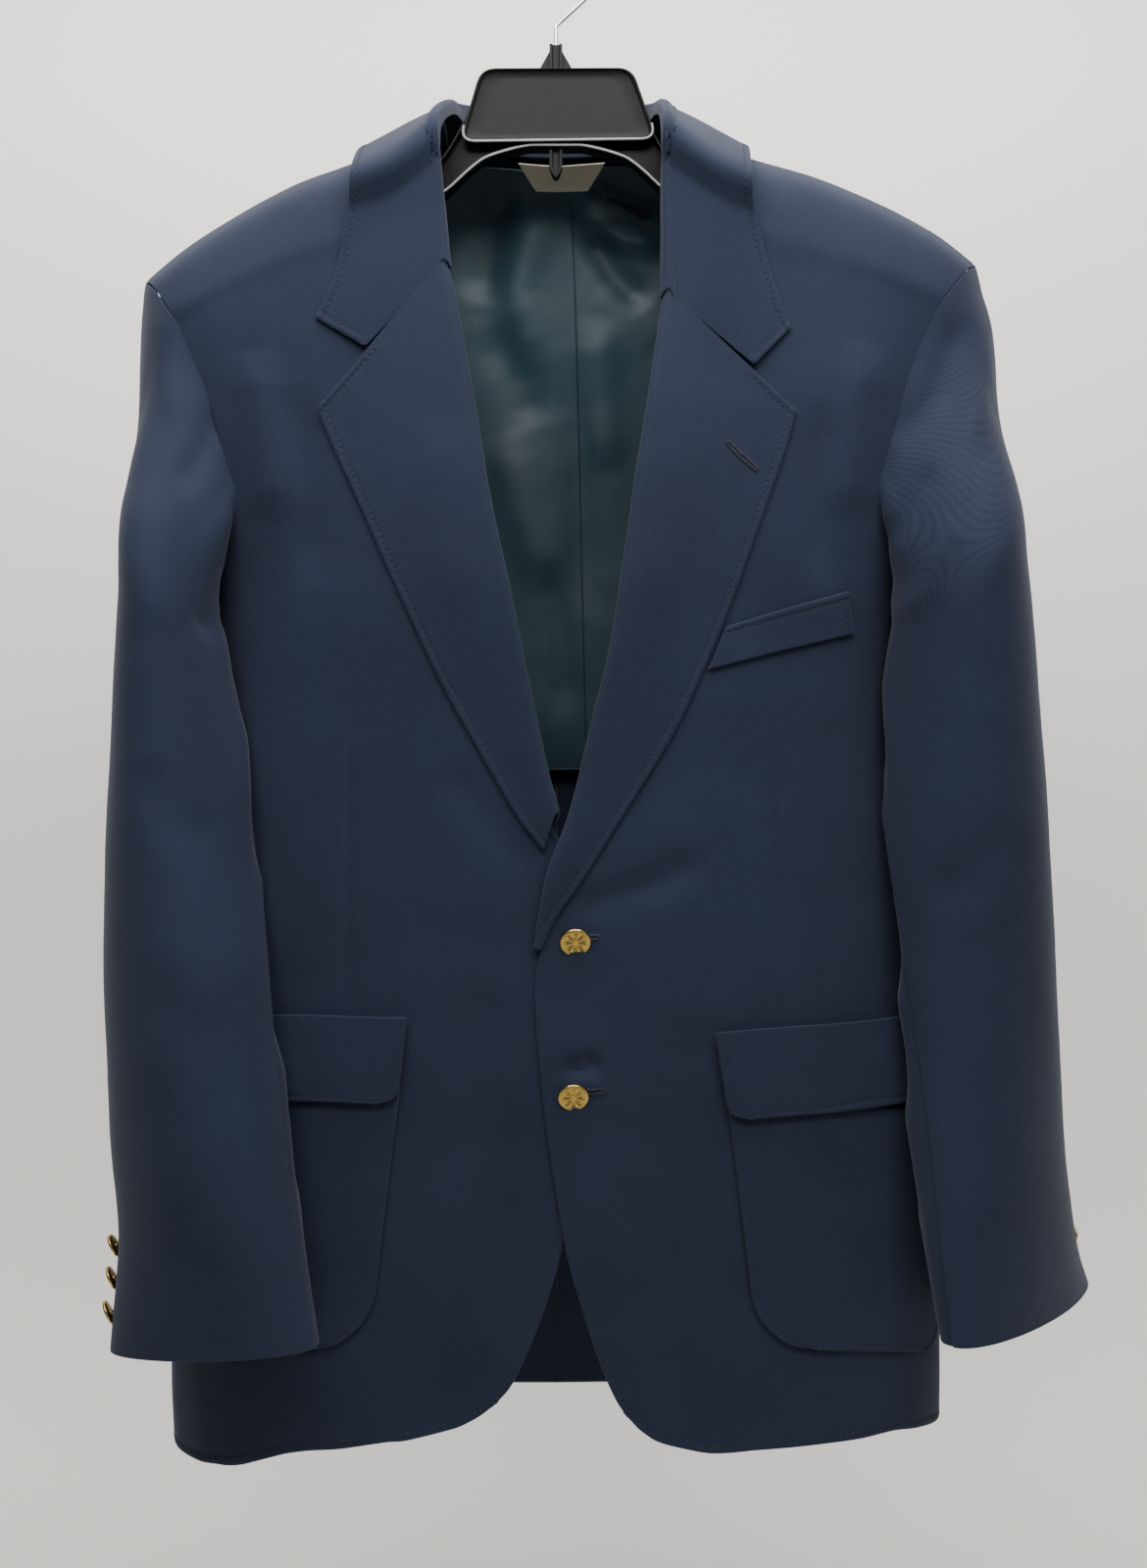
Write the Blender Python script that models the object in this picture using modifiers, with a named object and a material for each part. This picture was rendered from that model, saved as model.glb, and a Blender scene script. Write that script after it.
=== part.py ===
"""A navy blazer hung on a plastic hanger with a wire hook.

Lengths in the tables are millimetres. +X is the wearer's left, +Y the back, +Z up. The origin is the
underside of the hook's crown, where a rail carries it. Every cloth piece is a wall over a surface that
is worked out from the trunk's rings, the shoulder line and the curves of its own edges.
"""

import functools
import math

import bpy
from mathutils import Vector

MM = 0.001

# Cloth
WALL = 1.8
HALF_SEAM = 0.2
REST_GAP = 0.9
RING_POWER = 2.5
QUARTER = math.pi / 2

# The shoulder turns from front to back over a round of this height, its seam a little to the front
SHOULDER_ROUND = 45.0
SEAM_FORWARD = 14.0

# Edges that are read from the front lie in the plane y = 0 as seen from this eye
EYE_X, EYE_Y, EYE_Z = 10.8, -1100.0, -517.2
SIGHT_STEPS = 12
SHAPE_STEPS, SHAPE_START_Z = 8, -200.0

# z, half width, depth of the front, depth of the back
TRUNK = (
    (-940.0, 229.0, 62.0, 74.0),
    (-880.0, 232.0, 64.0, 73.0),
    (-800.0, 231.0, 66.0, 72.0),
    (-620.0, 215.0, 68.0, 66.0),
    (-500.0, 203.0, 70.0, 62.0),
    (-400.0, 207.0, 74.0, 68.0),
    (-300.0, 240.0, 72.0, 70.0),
    (-210.0, 268.0, 66.0, 66.0),
    (-80.0, 270.0, 60.0, 58.0),
)

# Distance from the middle, height of the shoulder's crest
RIDGE = {
    1: ((0, -100), (62, -112), (107, -137), (157, -152), (224, -181), (262, -207)),
    -1: ((0, -100), (62, -114), (115, -141), (160, -158), (219, -191), (256, -219)),
}
NECK_X = 66.0
SHOULDER_X = {1: 252.0, -1: 245.0}
# Where the neck point and the shoulder point lie below the crest, and the top of the collar's side
NECK_DROP, SHOULDER_DROP = 6.0, 5.0
COLLAR_SIDE_OUT, COLLAR_SIDE_Z = 5.0, -160.0

# Seen x, seen z of the front's armhole, from the shoulder seam down
ARMHOLE_FRONT = {
    1: ((239, -217), (227, -238), (216, -265), (208, -293), (201, -320), (198, -345)),
    -1: ((-236, -227), (-226, -247), (-215, -272), (-207, -298), (-200, -325), (-196, -350)),
}
# The back's armhole: its x as a share of the shoulder's, and its true z
ARMHOLE_BACK = ((0.965, -240.0), (0.91, -285.0), (0.855, -335.0))
# Two places on the shoulder's round as shares of the seam's turn, and the last one above the armpit
ARMHOLE_BACK_TURNS = (0.4, 1.6)
ARMHOLE_LOW_SHARE, ARMHOLE_LOW_RISE = 0.82, 12.0
ARMPIT_Z = -402.0
ARMPIT_V = 1 / 3
PANEL_ROWS = 24
LOOP_STEP = math.pi / (PANEL_ROWS * ARMPIT_V)

# Seen x, seen z of each lapel: its roll edge beside its outer edge, from the gorge to the button
LAPEL = {
    1: (
        (64.8, -223.0, 145.2, -291.0),
        (61.0, -246.0, 137.0, -319.0),
        (55.5, -285.0, 123.0, -359.0),
        (45.6, -351.0, 103.2, -415.0),
        (33.5, -432.0, 77.4, -476.0),
        (22.0, -481.0, 61.0, -506.0),
        (8.0, -540.0, 38.0, -543.0),
        (-3.0, -574.0, 17.0, -577.0),
        (-8.0, -600.0, 0.5, -601.0),
        (-11.5, -620.0, -8.6, -620.5),
    ),
    -1: (
        (-65.4, -204.5, -142.8, -288.0),
        (-60.5, -222.0, -139.5, -301.0),
        (-51.0, -275.0, -118.0, -349.0),
        (-41.4, -337.0, -93.0, -406.0),
        (-28.0, -402.0, -68.0, -460.0),
        (-14.0, -470.0, -45.0, -502.0),
        (-4.0, -518.0, -23.0, -540.0),
        (-1.0, -530.0, -14.0, -552.0),
        (1.0, -540.0, -7.5, -560.5),
    ),
}
LAPEL_ROUND = 2.6
LAPEL_TUCK = 6.0
LAPEL_EDGE_LIFT = 0.6
# Shares of the lapel's surface that are tucked under and that end the roll, and the most of its width
LAPEL_UNDER, LAPEL_OVER = 0.18, 0.42
TUCK_SHARE, ROUND_SHARE = 0.6, 0.12

# Seen x, seen z of each front's edge below its lapel, down to the round corner
FRONT_EDGE = {
    1: (
        (-12.6, -641.0),
        (-10.8, -677.0),
        (-5.4, -729.0),
        (5.4, -798.0),
        (16.2, -838.0),
        (27.2, -871.5),
        (36.2, -892.5),
        (43.0, -902.9),
    ),
    -1: (
        (18.0, -600.0),
        (20.0, -640.0),
        (18.0, -700.0),
        (12.0, -752.0),
        (4.2, -798.0),
        (-6.0, -836.0),
        (-18.5, -867.5),
        (-27.5, -885.6),
        (-37.0, -896.4),
    ),
}
# Seen x, seen z of each front's hem from that corner towards the side
FRONT_HEM = {
    1: ((52.6, -913), (66, -920.8), (88, -925.8), (119, -925), (156, -921.6), (188, -917), (213, -911.5)),
    -1: (
        (-48, -904.6),
        (-64, -912),
        (-90, -918.6),
        (-112, -921),
        (-152, -925),
        (-178, -930),
        (-196, -934),
        (-215, -931.5),
    ),
}
SIDE_HEM_Z = {1: -898.0, -1: -908.0}
BACK_HEM_Z = -908.5
BLADE_POWER = 1.6
OVERLAP_LIFT = 2.6
OVERLAP_NEAR, OVERLAP_FAR = 30.0, 70.0

# True x without its sign and true z of the back's neck seam, from the shoulder to the middle
BACK_NECK = ((52.0, -116.0), (30.0, -120.0), (0.0, -122.0))

# Each sleeve's sections: x and z of the outer edge and its y, the same of the inner edge, half thickness
SLEEVE = {
    1: (
        (252.0, -228.0, 0.0, 199.0, -398.0, -14.0, 88.0),
        (276.0, -295.0, 0.0, 196.0, -415.0, -18.0, 84.0),
        (289.0, -380.0, 0.0, 195.0, -446.0, -24.0, 78.0),
        (296.0, -465.0, 2.0, 196.0, -490.0, -34.0, 70.0),
        (303.0, -570.0, 6.0, 204.0, -560.0, -46.0, 60.0),
        (307.0, -650.0, 10.0, 217.0, -640.0, -58.0, 50.0),
        (311.0, -728.0, 14.0, 229.0, -728.0, -72.0, 40.0),
        (318.0, -788.0, 18.0, 237.0, -808.0, -84.0, 31.0),
        (326.0, -818.0, 22.0, 243.6, -862.0, -90.0, 25.0),
    ),
    -1: (
        (-243.0, -234.0, 0.0, -198.0, -398.0, -14.0, 88.0),
        (-262.0, -300.0, 0.0, -192.0, -415.0, -18.0, 84.0),
        (-268.0, -400.0, -4.0, -187.0, -446.0, -26.0, 78.0),
        (-273.0, -490.0, -10.0, -183.0, -500.0, -40.0, 70.0),
        (-276.0, -577.0, -22.0, -181.0, -577.0, -56.0, 60.0),
        (-276.0, -640.0, -34.0, -176.0, -642.0, -70.0, 52.0),
        (-273.0, -727.0, -52.0, -168.0, -727.0, -84.0, 43.0),
        (-268.0, -795.0, -66.0, -158.0, -800.0, -94.0, 33.0),
        (-273.0, -863.0, -76.0, -147.0, -862.0, -102.0, 24.0),
    ),
}
# A section's outer edge is brought in till the silhouette of its whole oval, seen by the eye, is as read
FIT_ROUNDS, FIT_BY_T = 5, 0.25
FIT_TURNS = tuple(2 * math.pi * k / 36 for k in range(36))
SLEEVE_CLEARANCE = 2 * WALL + 4.6
POCKET_CLEARANCE = 4 * WALL + 2 * REST_GAP + 5.5
POCKET_TOP_Z, POCKET_ZONE_Z = -625.0, -570.0
CLEAR_FROM_Z, CLEAR_BY_Z = -300.0, -370.0
CAP_BLEND = 0.22
# The sleeve stands off the trunk between these shares of the armhole
STAND_OFF_FROM, STAND_OFF_BY = 0.5, 0.85
HIND_STEPS, FORE_STEPS, LOOP_STEPS = 3, 8, 16
HIND_SEAM_CUFF = -0.12
SLEEVE_TRIM = 0.8
SLEEVE_ROWS = 18
CAP_GAP = {-1: 0.9, 1: 2.0}

# Collar stations from the front end to the middle of the back: crest, middle of the fall, outer edge.
# The first four are seen x and z. The rest are true x, y, z for the crest and the middle, and for the
# edge its x, its turn below the shoulder's crest and how far it lies out from the back.
COLLAR_FRONT = {
    1: (
        (65.0, -216.0, 116.5, -261.5, 142.0, -240.0),
        (65.0, -185.0, 101.0, -213.0, 130.5, -212.0),
        (64.0, -150.0, 93.0, -172.0, 119.0, -178.0),
        (63.5, -125.0, 89.5, -146.0, 113.5, -155.0),
    ),
    -1: (
        (-65.2, -198.0, -112.0, -249.5, -145.0, -235.0),
        (-67.0, -175.0, -103.0, -209.0, -132.5, -207.0),
        (-69.0, -148.0, -96.0, -172.0, -124.0, -175.0),
        (-69.5, -125.0, -95.0, -147.0, -118.5, -153.0),
    ),
}
COLLAR_BACK = (
    (64.0, -6.0, -101.0, 88.0, -2.0, -114.0, 111.0, 0.0, 10.0),
    (58.0, 22.0, -93.0, 77.0, 34.0, -115.0, 97.0, 32.0, 8.5),
    (33.0, 46.0, -87.0, 44.0, 60.0, -106.0, 54.0, 36.0, 6.0),
    (0.0, 53.0, -85.0, 0.0, 62.5, -106.0, 0.0, 35.0, 5.6),
)
COLLAR_LIFT = (5.5, 6.5, 8.5, 12.0)
COLLAR_MID_LIFT = (3.4, 6.0, 8.5, 12.0)
COLLAR_EDGE_LIFT = (0.4, 1.2, 4.0, 9.5)
COLLAR_END = 0.03
COLLAR_ROUND = 2.6
COLLAR_ROWS = 28
# Shares of the collar's surface that end the stand and the roll
COLLAR_UNDER, COLLAR_OVER = 0.3, 0.5
# How far the foot of the stand lies from the crest at each station
STAND = (
    (-2.0, 4.0, -6.0),
    (-1.5, 5.0, -9.0),
    (-1.0, 5.0, -9.0),
    (-1.0, 4.0, -8.0),
    (-1.0, 2.0, -8.0),
    (-5.0, -3.0, -20.0),
    (-3.0, -5.0, -31.0),
    (0.0, -5.5, -33.0),
)

# Pockets: seen x and z of the inner edge's top and bottom; the outer edge is a share of the way round
FLAP = {1: ((94.5, -673.0), (103.0, -727.0)), -1: ((-88.2, -664.0), (-94.0, -717.0))}
FLAP_RISE = {1: 9.0, -1: 1.0}
PATCH = {1: ((104.0, -716.0), (121.0, -866.5)), -1: ((-94.0, -706.0), (-112.0, -867.0))}
PATCH_RISE = -8.0
FLAP_LIFT = 0.5
POCKET_OUTER_SHARE = 0.86
# The round of the lower corners as shares of the width and of the height
PATCH_CORNER, FLAP_CORNER = (0.2, 0.24), (0.06, 0.15)
WELT = ((102.6, -423.0), (175.8, -401.0), (91.8, -449.4), (179.4, -427.2))

# Lining on the inside of the back
LINING_TOP, LINING_HEM = -121.0, -499.0
LINING_NECK_X, LINING_SIDE_X = 56.0, 150.0
LINING_SLACK = 3.0
LINING_WIDENING = 0.35
LINING_SLACK_FROM, LINING_SLACK_BY = 0.2, 0.6
LINING_WALL = 1.0
# How far each half reaches past the middle, at its top and at its hem
LINING_LAP = {1: (5.0, 5.0), -1: (7.5, 20.0)}
LINING_INSET = 4.4
LINING_ROW_POWER = 1.7
LABEL_WIDTH, LABEL_HEIGHT, LABEL_X, LABEL_Z = 56.0, 13.0, 3.4, -123.5
LABEL_SLANT = 11.0
LABEL_WALL = 1.0

# Buttons: diameters, places as seen on the front, and shares of the sleeve's length and round
FRONT_BUTTON_D, CUFF_BUTTON_D = 18.0, 14.0
FRONT_BUTTONS = ((11.7, -614.8), (10.5, -709.2))
CUFF_BUTTON_SHARES = {1: (0.81, 0.85, 0.89), -1: (0.879, 0.912, 0.946)}
CUFF_BUTTON_PSI = 0.15
BUTTON_GAP = 0.4
FRONT_BUTTON_SIDES, CUFF_BUTTON_SIDES = 20, 16
ROUND_STEP, LENGTH_STEP = 0.05, 0.01
# A button's profile: shares of the radius and heights, then its shank
BUTTON_FACE = ((0.0, 3.6), (0.45, 3.4), (0.8, 2.9), (0.88, 3.2), (1.0, 2.4), (1.0, 1.6), (0.85, 1.1))
SHANK_R, SHANK_TOP = 1.8, 1.1

# Hanger: x, top, bottom, half depth of the moulding
HANGER = (
    (4.8, -86.0, -147.0, 5.0),
    (5.4, -86.0, -129.0, 7.0),
    (16.0, -86.0, -129.0, 7.0),
    (42.0, -87.0, -136.0, 6.5),
    (52.0, -106.0, -143.0, 6.5),
    (70.0, -137.0, -159.0, 9.0),
    (100.0, -150.0, -166.0, 13.0),
    (150.0, -159.2, -173.0, 17.0),
    (190.0, -177.8, -189.0, 18.0),
    (212.0, -192.8, -200.0, 14.0),
)
HANGER_SIDES = 12
HANGER_POWER = 0.6
NECK_SIDES, NECK_SEAT = 16, 0.3
NECK_R, NECK_TOP = 4.2, -65.4
HOOK_WIRE_R, HOOK_R = 1.3, 22.0
HOOK_STEM = 12.0
HOOK_START, HOOK_END = math.radians(-40.0), math.radians(205.0)
HOOK_LEAN = (0.35, 0.7)
HOOK_STEPS, HOOK_ROUNDING = 20, 2


def hermite(low, high, slope_low, slope_high, t):
    """Smooth value between low and high, with those slopes for the whole step."""
    t2, t3 = t * t, t * t * t
    return (
        (2 * t3 - 3 * t2 + 1) * low
        + (t3 - 2 * t2 + t) * slope_low
        + (3 * t2 - 2 * t3) * high
        + (t3 - t2) * slope_high
    )


def read(table, key):
    """All columns of a table but its first, smooth in that first column."""
    if key <= table[0][0]:
        return list(table[0][1:])
    if key >= table[-1][0]:
        return list(table[-1][1:])
    i = max(k for k, row in enumerate(table) if row[0] <= key)
    here, there = table[i], table[i + 1]
    before, after = table[max(i - 1, 0)], table[min(i + 2, len(table) - 1)]
    step = there[0] - here[0]
    t = (key - here[0]) / step
    values = []
    for c in range(1, len(here)):
        slope_here = (there[c] - before[c]) / (there[0] - before[0]) * step
        slope_there = (after[c] - here[c]) / (after[0] - here[0]) * step
        values.append(hermite(here[c], there[c], slope_here, slope_there, t))
    return values


def along(points, t):
    """The point at share t of a smooth curve through equal steps of the given points."""
    last = len(points) - 1
    place = min(max(t, 0.0), 1.0) * last
    i = min(int(place), last - 1)
    here, there = points[i], points[i + 1]
    before, after = points[max(i - 1, 0)], points[min(i + 2, last)]
    return [
        hermite(p, q, (q - b) / 2, (a - p) / 2, place - i)
        for b, p, q, a in zip(before, here, there, after)
    ]


def smooth_step(low, high, value):
    t = min(max((value - low) / (high - low), 0.0), 1.0)
    return t * t * (3 - 2 * t)


def mix(a, b, t):
    return a + (b - a) * t


def side_of(x):
    return 1 if x >= 0 else -1


def crest(x, out=0.0):
    """Height of the shoulder's crest above x."""
    return read(RIDGE[side_of(x)], abs(x))[0] + out


def drop_to_turn(drop):
    """How far below the crest a height is, as a place along the shoulder's round and the wall."""
    if drop >= SHOULDER_ROUND:
        return drop
    return SHOULDER_ROUND * math.acos(1 - max(drop, 0.0) / SHOULDER_ROUND) / QUARTER


def turn_to_drop(turn):
    if abs(turn) >= SHOULDER_ROUND:
        return abs(turn)
    return SHOULDER_ROUND * (1 - math.cos(turn / SHOULDER_ROUND * QUARTER))


def cloth_place(x, z):
    """The share of the way round to the side seam, signed as x, and the turn below the crest."""
    half_width = read(TRUNK, z)[0]
    share = math.asin(min(abs(x) / half_width, 1.0) ** (RING_POWER / 2)) / QUARTER
    return side_of(x) * share, drop_to_turn(crest(x) - z)


def level_place(share, z):
    """The place on the cloth at a share of the way round and at the height z."""
    across = math.sin(abs(share) * QUARTER) ** (2 / RING_POWER)
    x = math.copysign(across * read(TRUNK, z)[0], share)
    return share, drop_to_turn(crest(x) - z)


def overlap_lift(side, x):
    """The wearer's left front lies on the right one near the middle."""
    if side < 0:
        return 0.0
    return OVERLAP_LIFT * (1 - smooth_step(OVERLAP_NEAR, OVERLAP_FAR, x))


def trunk_point(face, share, turn, out=0.0):
    """A point of the trunk: face is -1 for the front and 1 for the back."""
    angle = abs(share) * QUARTER
    across = math.copysign(math.sin(angle) ** (2 / RING_POWER), share)
    deep = max(math.cos(angle), 0.0) ** (2 / RING_POWER)
    z = SHAPE_START_Z
    for _ in range(SHAPE_STEPS):
        half_width, front, back = read(TRUNK, z)
        x = across * (half_width + out)
        z = crest(x, out) - turn_to_drop(turn)
    depth = (front if face < 0 else back) + out
    swing = min(max(turn / SHOULDER_ROUND, -1.0), 1.0) * QUARTER
    return Vector((x, face * depth * deep * math.sin(swing), z))


def true_from_seen(x, z, y):
    """The place at depth y that is seen at x, z in the plane y = 0."""
    share = (y - EYE_Y) / -EYE_Y
    return mix(EYE_X, x, share), mix(EYE_Z, z, share)


def seen_place(x, z):
    """The place on the front's cloth that is seen at x, z."""
    y = 0.0
    for _ in range(SIGHT_STEPS):
        true_x, true_z = true_from_seen(x, z, y)
        share, turn = cloth_place(true_x, true_z)
        y = trunk_point(-1, share, turn).y
    return share, turn


def coons(top, bottom, inner, outer):
    """A patch over four edge curves, top and bottom along u, inner and outer along v."""

    def at(u, v):
        t, b, i, o = top(u), bottom(u), inner(v), outer(v)
        c00, c10, c01, c11 = top(0), top(1), bottom(0), bottom(1)
        return [
            mix(t[k], b[k], v)
            + mix(i[k], o[k], u)
            - mix(mix(c00[k], c10[k], u), mix(c01[k], c11[k], u), v)
            for k in (0, 1)
        ]

    return at


def collection():
    return bpy.data.collections["blazer"]


def material(name, colour, roughness, metallic=0.0):
    made = bpy.data.materials.new(name)
    made.use_nodes = True
    shader = made.node_tree.nodes["Principled BSDF"]
    shader.inputs["Base Color"].default_value = (*colour, 1.0)
    shader.inputs["Roughness"].default_value = roughness
    shader.inputs["Metallic"].default_value = metallic
    return made


def add_object(name, mesh, slot):
    made = bpy.data.objects.new(name, mesh)
    mesh.materials.append(bpy.data.materials[slot])
    collection().objects.link(made)
    return made


def trimmed(grid, trim):
    """The grid with its border drawn in by the trim, which leaves the seams open."""
    rows, columns = len(grid), len(grid[0])
    out = [list(row) for row in grid]
    for j in range(rows):
        for end, beside in ((0, 1), (columns - 1, columns - 2)):
            inward = grid[j][beside] - grid[j][end]
            out[j][end] = out[j][end] + inward.normalized() * trim
    for i in range(columns):
        for end, beside in ((0, 1), (rows - 1, rows - 2)):
            inward = grid[beside][i] - grid[end][i]
            out[end][i] = out[end][i] + inward.normalized() * trim
    return out


def wall(name, surface, columns, rows, slot, thickness=WALL, flip=False, trim=HALF_SEAM):
    """A cloth wall of even thickness over surface(u, v), laid on its outer side."""
    grid = [[surface(i / columns, j / rows) for i in range(columns + 1)] for j in range(rows + 1)]
    grid = trimmed(grid, trim)
    vertices = [tuple(point * MM) for row in grid for point in row]
    faces = []
    for j in range(rows):
        for i in range(columns):
            a = j * (columns + 1) + i
            face = (a, a + columns + 1, a + columns + 2, a + 1)
            faces.append(face[::-1] if flip else face)
    mesh = bpy.data.meshes.new(name)
    mesh.from_pydata(vertices, [], faces)
    mesh.shade_smooth()
    made = add_object(name, mesh, slot)
    shell = made.modifiers.new("wall", "SOLIDIFY")
    shell.thickness = thickness * MM
    shell.offset = 1.0
    return made


def roll_point(side, t):
    x, z = along([row[:2] for row in LAPEL[side]], t)
    return x, z


def lapel_edge_point(side, t):
    x, z = along([row[2:] for row in LAPEL[side]], t)
    return x, z


def armhole(face, side, v):
    """The armhole from the shoulder seam at v = 0 to the armpit at v = 1."""
    forward = SEAM_FORWARD if face < 0 else -SEAM_FORWARD
    shoulder_x = side * SHOULDER_X[side]
    share = cloth_place(shoulder_x, crest(shoulder_x) - SHOULDER_DROP)[0]
    points = [(share, forward)]
    if face < 0:
        points += [seen_place(x, z) for x, z in ARMHOLE_FRONT[side]]
    else:
        points += [(share, -forward * turns) for turns in ARMHOLE_BACK_TURNS]
        points += [cloth_place(shoulder_x * narrowing, z) for narrowing, z in ARMHOLE_BACK]
    armpit_turn = crest(side * read(TRUNK, ARMPIT_Z)[0]) - ARMPIT_Z
    points += [(side * ARMHOLE_LOW_SHARE, armpit_turn - ARMHOLE_LOW_RISE), (side, armpit_turn)]
    return along(points, v)


def side_seam(side, v):
    """The side seam from the armpit to the hem."""
    top = crest(side * read(TRUNK, ARMPIT_Z)[0]) - ARMPIT_Z
    bottom = crest(side * read(TRUNK, SIDE_HEM_Z[side])[0]) - SIDE_HEM_Z[side]
    return side, mix(top, bottom, v)


def outer_edge(face, side, v):
    if v <= ARMPIT_V:
        return armhole(face, side, v / ARMPIT_V)
    return side_seam(side, (v - ARMPIT_V) / (1 - ARMPIT_V))


def lapel_tuck(width):
    """How far the lapel's cloth reaches back inside its roll."""
    return min(LAPEL_TUCK, abs(width) * TUCK_SHARE)


def front_panel(side):
    """From the shoulder seam to the hem, and from the roll line and front edge to the side seam."""
    neck = (cloth_place(side * NECK_X, crest(side * NECK_X) - NECK_DROP)[0], SEAM_FORWARD)
    roll = [seen_place(row[0] + side * lapel_tuck(row[2] - row[0]), row[1]) for row in LAPEL[side]]
    edge = [seen_place(x, z) for x, z in FRONT_EDGE[side]]
    collar_side = seen_place(side * (NECK_X + COLLAR_SIDE_OUT), COLLAR_SIDE_Z)
    inner_points = [neck, collar_side] + roll + edge
    hem_points = [edge[-1]] + [seen_place(x, z) for x, z in FRONT_HEM[side]] + [side_seam(side, 1.0)]
    shoulder = armhole(-1, side, 0.0)

    def top(u):
        return [mix(neck[0], shoulder[0], u), SEAM_FORWARD]

    def bottom(u):
        return along(hem_points, u)

    def inner(v):
        return along(inner_points, v)

    def outer(v):
        return outer_edge(-1, side, v)

    return coons(top, bottom, inner, outer)


def front_surface(side, out=0.0):
    patch = front_panel(side)

    def at(u, v):
        share, turn = patch(u, v)
        flat = trunk_point(-1, share, turn, out)
        return flat + Vector((0, -overlap_lift(side, flat.x), 0))

    return at


def back_surface(side):
    """From the neck and shoulder seams over the crest and down to the hem, and from the centre seam."""
    neck_start = (cloth_place(side * NECK_X, crest(side * NECK_X) - NECK_DROP)[0], -SEAM_FORWARD)
    neck = [neck_start, (neck_start[0], SEAM_FORWARD)]
    neck += [cloth_place(side * x, z) for x, z in BACK_NECK[:-1]]
    neck_end = cloth_place(0.0, BACK_NECK[-1][1])
    shoulder = armhole(1, side, 0.0)
    blades = level_place(0.0, ARMPIT_Z)
    bottom_middle = level_place(0.0, BACK_HEM_Z)

    def inner(v):
        if v <= ARMPIT_V / 2:
            return along(neck + [neck_end], v / (ARMPIT_V / 2))
        if v <= ARMPIT_V:
            return [0.0, mix(neck_end[1], blades[1], (v * 2 / ARMPIT_V - 1) ** BLADE_POWER)]
        return [0.0, mix(blades[1], bottom_middle[1], (v - ARMPIT_V) / (1 - ARMPIT_V))]

    def top(u):
        return [mix(neck_start[0], shoulder[0], u), -SEAM_FORWARD]

    def bottom(u):
        return level_place(side * u, mix(BACK_HEM_Z, SIDE_HEM_Z[side], u))

    def outer(v):
        return outer_edge(1, side, v)

    patch = coons(top, bottom, inner, outer)
    return lambda u, v: trunk_point(1, *patch(u, v))


def build_trunk():
    for side, word in ((1, "left"), (-1, "right")):
        wall(f"front_{word}", front_surface(side), 10, PANEL_ROWS, "wool", flip=side < 0)
        wall(f"back_{word}", back_surface(side), 8, PANEL_ROWS, "wool", flip=side > 0)


def front_point(side, x, z, out):
    """The point of a front that is seen at x, z, moved out from the panel's inner side."""
    share, turn = seen_place(x, z)
    flat = trunk_point(-1, share, turn, out)
    return flat + Vector((0, -overlap_lift(side, flat.x), 0))


def lapel_surface(side):
    """From the front's own edge to the roll, over it, and out to the lapel's edge."""
    under, over = LAPEL_UNDER, LAPEL_OVER

    def at(u, v):
        roll_x, roll_z = roll_point(side, v)
        edge_x, edge_z = lapel_edge_point(side, v)
        width = math.hypot(edge_x - roll_x, edge_z - roll_z)
        tuck = lapel_tuck(width)
        rounding = min(LAPEL_ROUND, width * ROUND_SHARE)
        if u <= under:
            share = tuck * (1 - u / under)
            lift = 0.0
        elif u < over:
            swing = math.pi * (u - under) / (over - under)
            share = -rounding * math.sin(swing)
            lift = rounding * (1 - math.cos(swing))
        else:
            out = (u - over) / (1 - over)
            share = out * width
            lift = mix(2 * rounding, LAPEL_EDGE_LIFT, smooth_step(0.0, 1.0, out))
        direction = share / width
        x, z = mix(roll_x, edge_x, direction), mix(roll_z, edge_z, direction)
        return front_point(side, x, z, WALL + lift)

    return at


def build_lapels():
    for side, word in ((1, "left"), (-1, "right")):
        wall(f"lapel_{word}", lapel_surface(side), 11, 14, "wool", flip=side < 0)


@functools.lru_cache(maxsize=None)
def sleeve_frame(side, t):
    """Middle, reach and breadth of the sleeve's oval at share t of its length."""
    x_out, z_out, y_out, x_in, z_in, y_in, half = along(SLEEVE[side], t)
    outer_x, outer_z = true_from_seen(x_out, z_out, y_out)
    inner_x, inner_z = true_from_seen(x_in, z_in, y_in)
    outer, inner = Vector((outer_x, y_out, outer_z)), Vector((inner_x, y_in, inner_z))
    reach = (outer - inner) / 2
    broad = Vector((reach.y, -reach.x, 0)).normalized() * side * half
    for _ in range(FIT_ROUNDS):
        middle, reach = (outer + inner) / 2, (outer - inner) / 2
        widest = max(side * seen_x(oval_point(middle, reach, broad, turn)) for turn in FIT_TURNS)
        outer.x -= side * (widest + WALL - side * x_out)
    outer.x = mix(outer_x, outer.x, smooth_step(0.0, FIT_BY_T, t))
    return (outer + inner) / 2, (outer - inner) / 2, broad


def seen_x(point):
    """Where a point is seen in the plane y = 0."""
    return EYE_X + (point.x - EYE_X) * -EYE_Y / (point.y - EYE_Y)


def oval_point(middle, reach, broad, turn):
    return middle + reach * math.cos(turn) + broad * math.sin(turn)


def sleeve_section(side, psi, t):
    """A point of the sleeve's oval section; psi is 0 at its outer edge."""
    return oval_point(*sleeve_frame(side, t), psi)


def armhole_loop(side, psi):
    """The armhole as a loop: psi is 0 at the shoulder seam and half a turn at the armpit, round the front."""
    turn = psi % (2 * math.pi)
    face = -1 if turn <= math.pi else 1
    v = turn / math.pi if turn <= math.pi else (2 * math.pi - turn) / math.pi
    lift = SLEEVE_CLEARANCE * smooth_step(STAND_OFF_FROM, STAND_OFF_BY, v)
    return trunk_point(face, *armhole(face, side, v), lift) + Vector((side * CAP_GAP[face], 0, 0))


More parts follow.
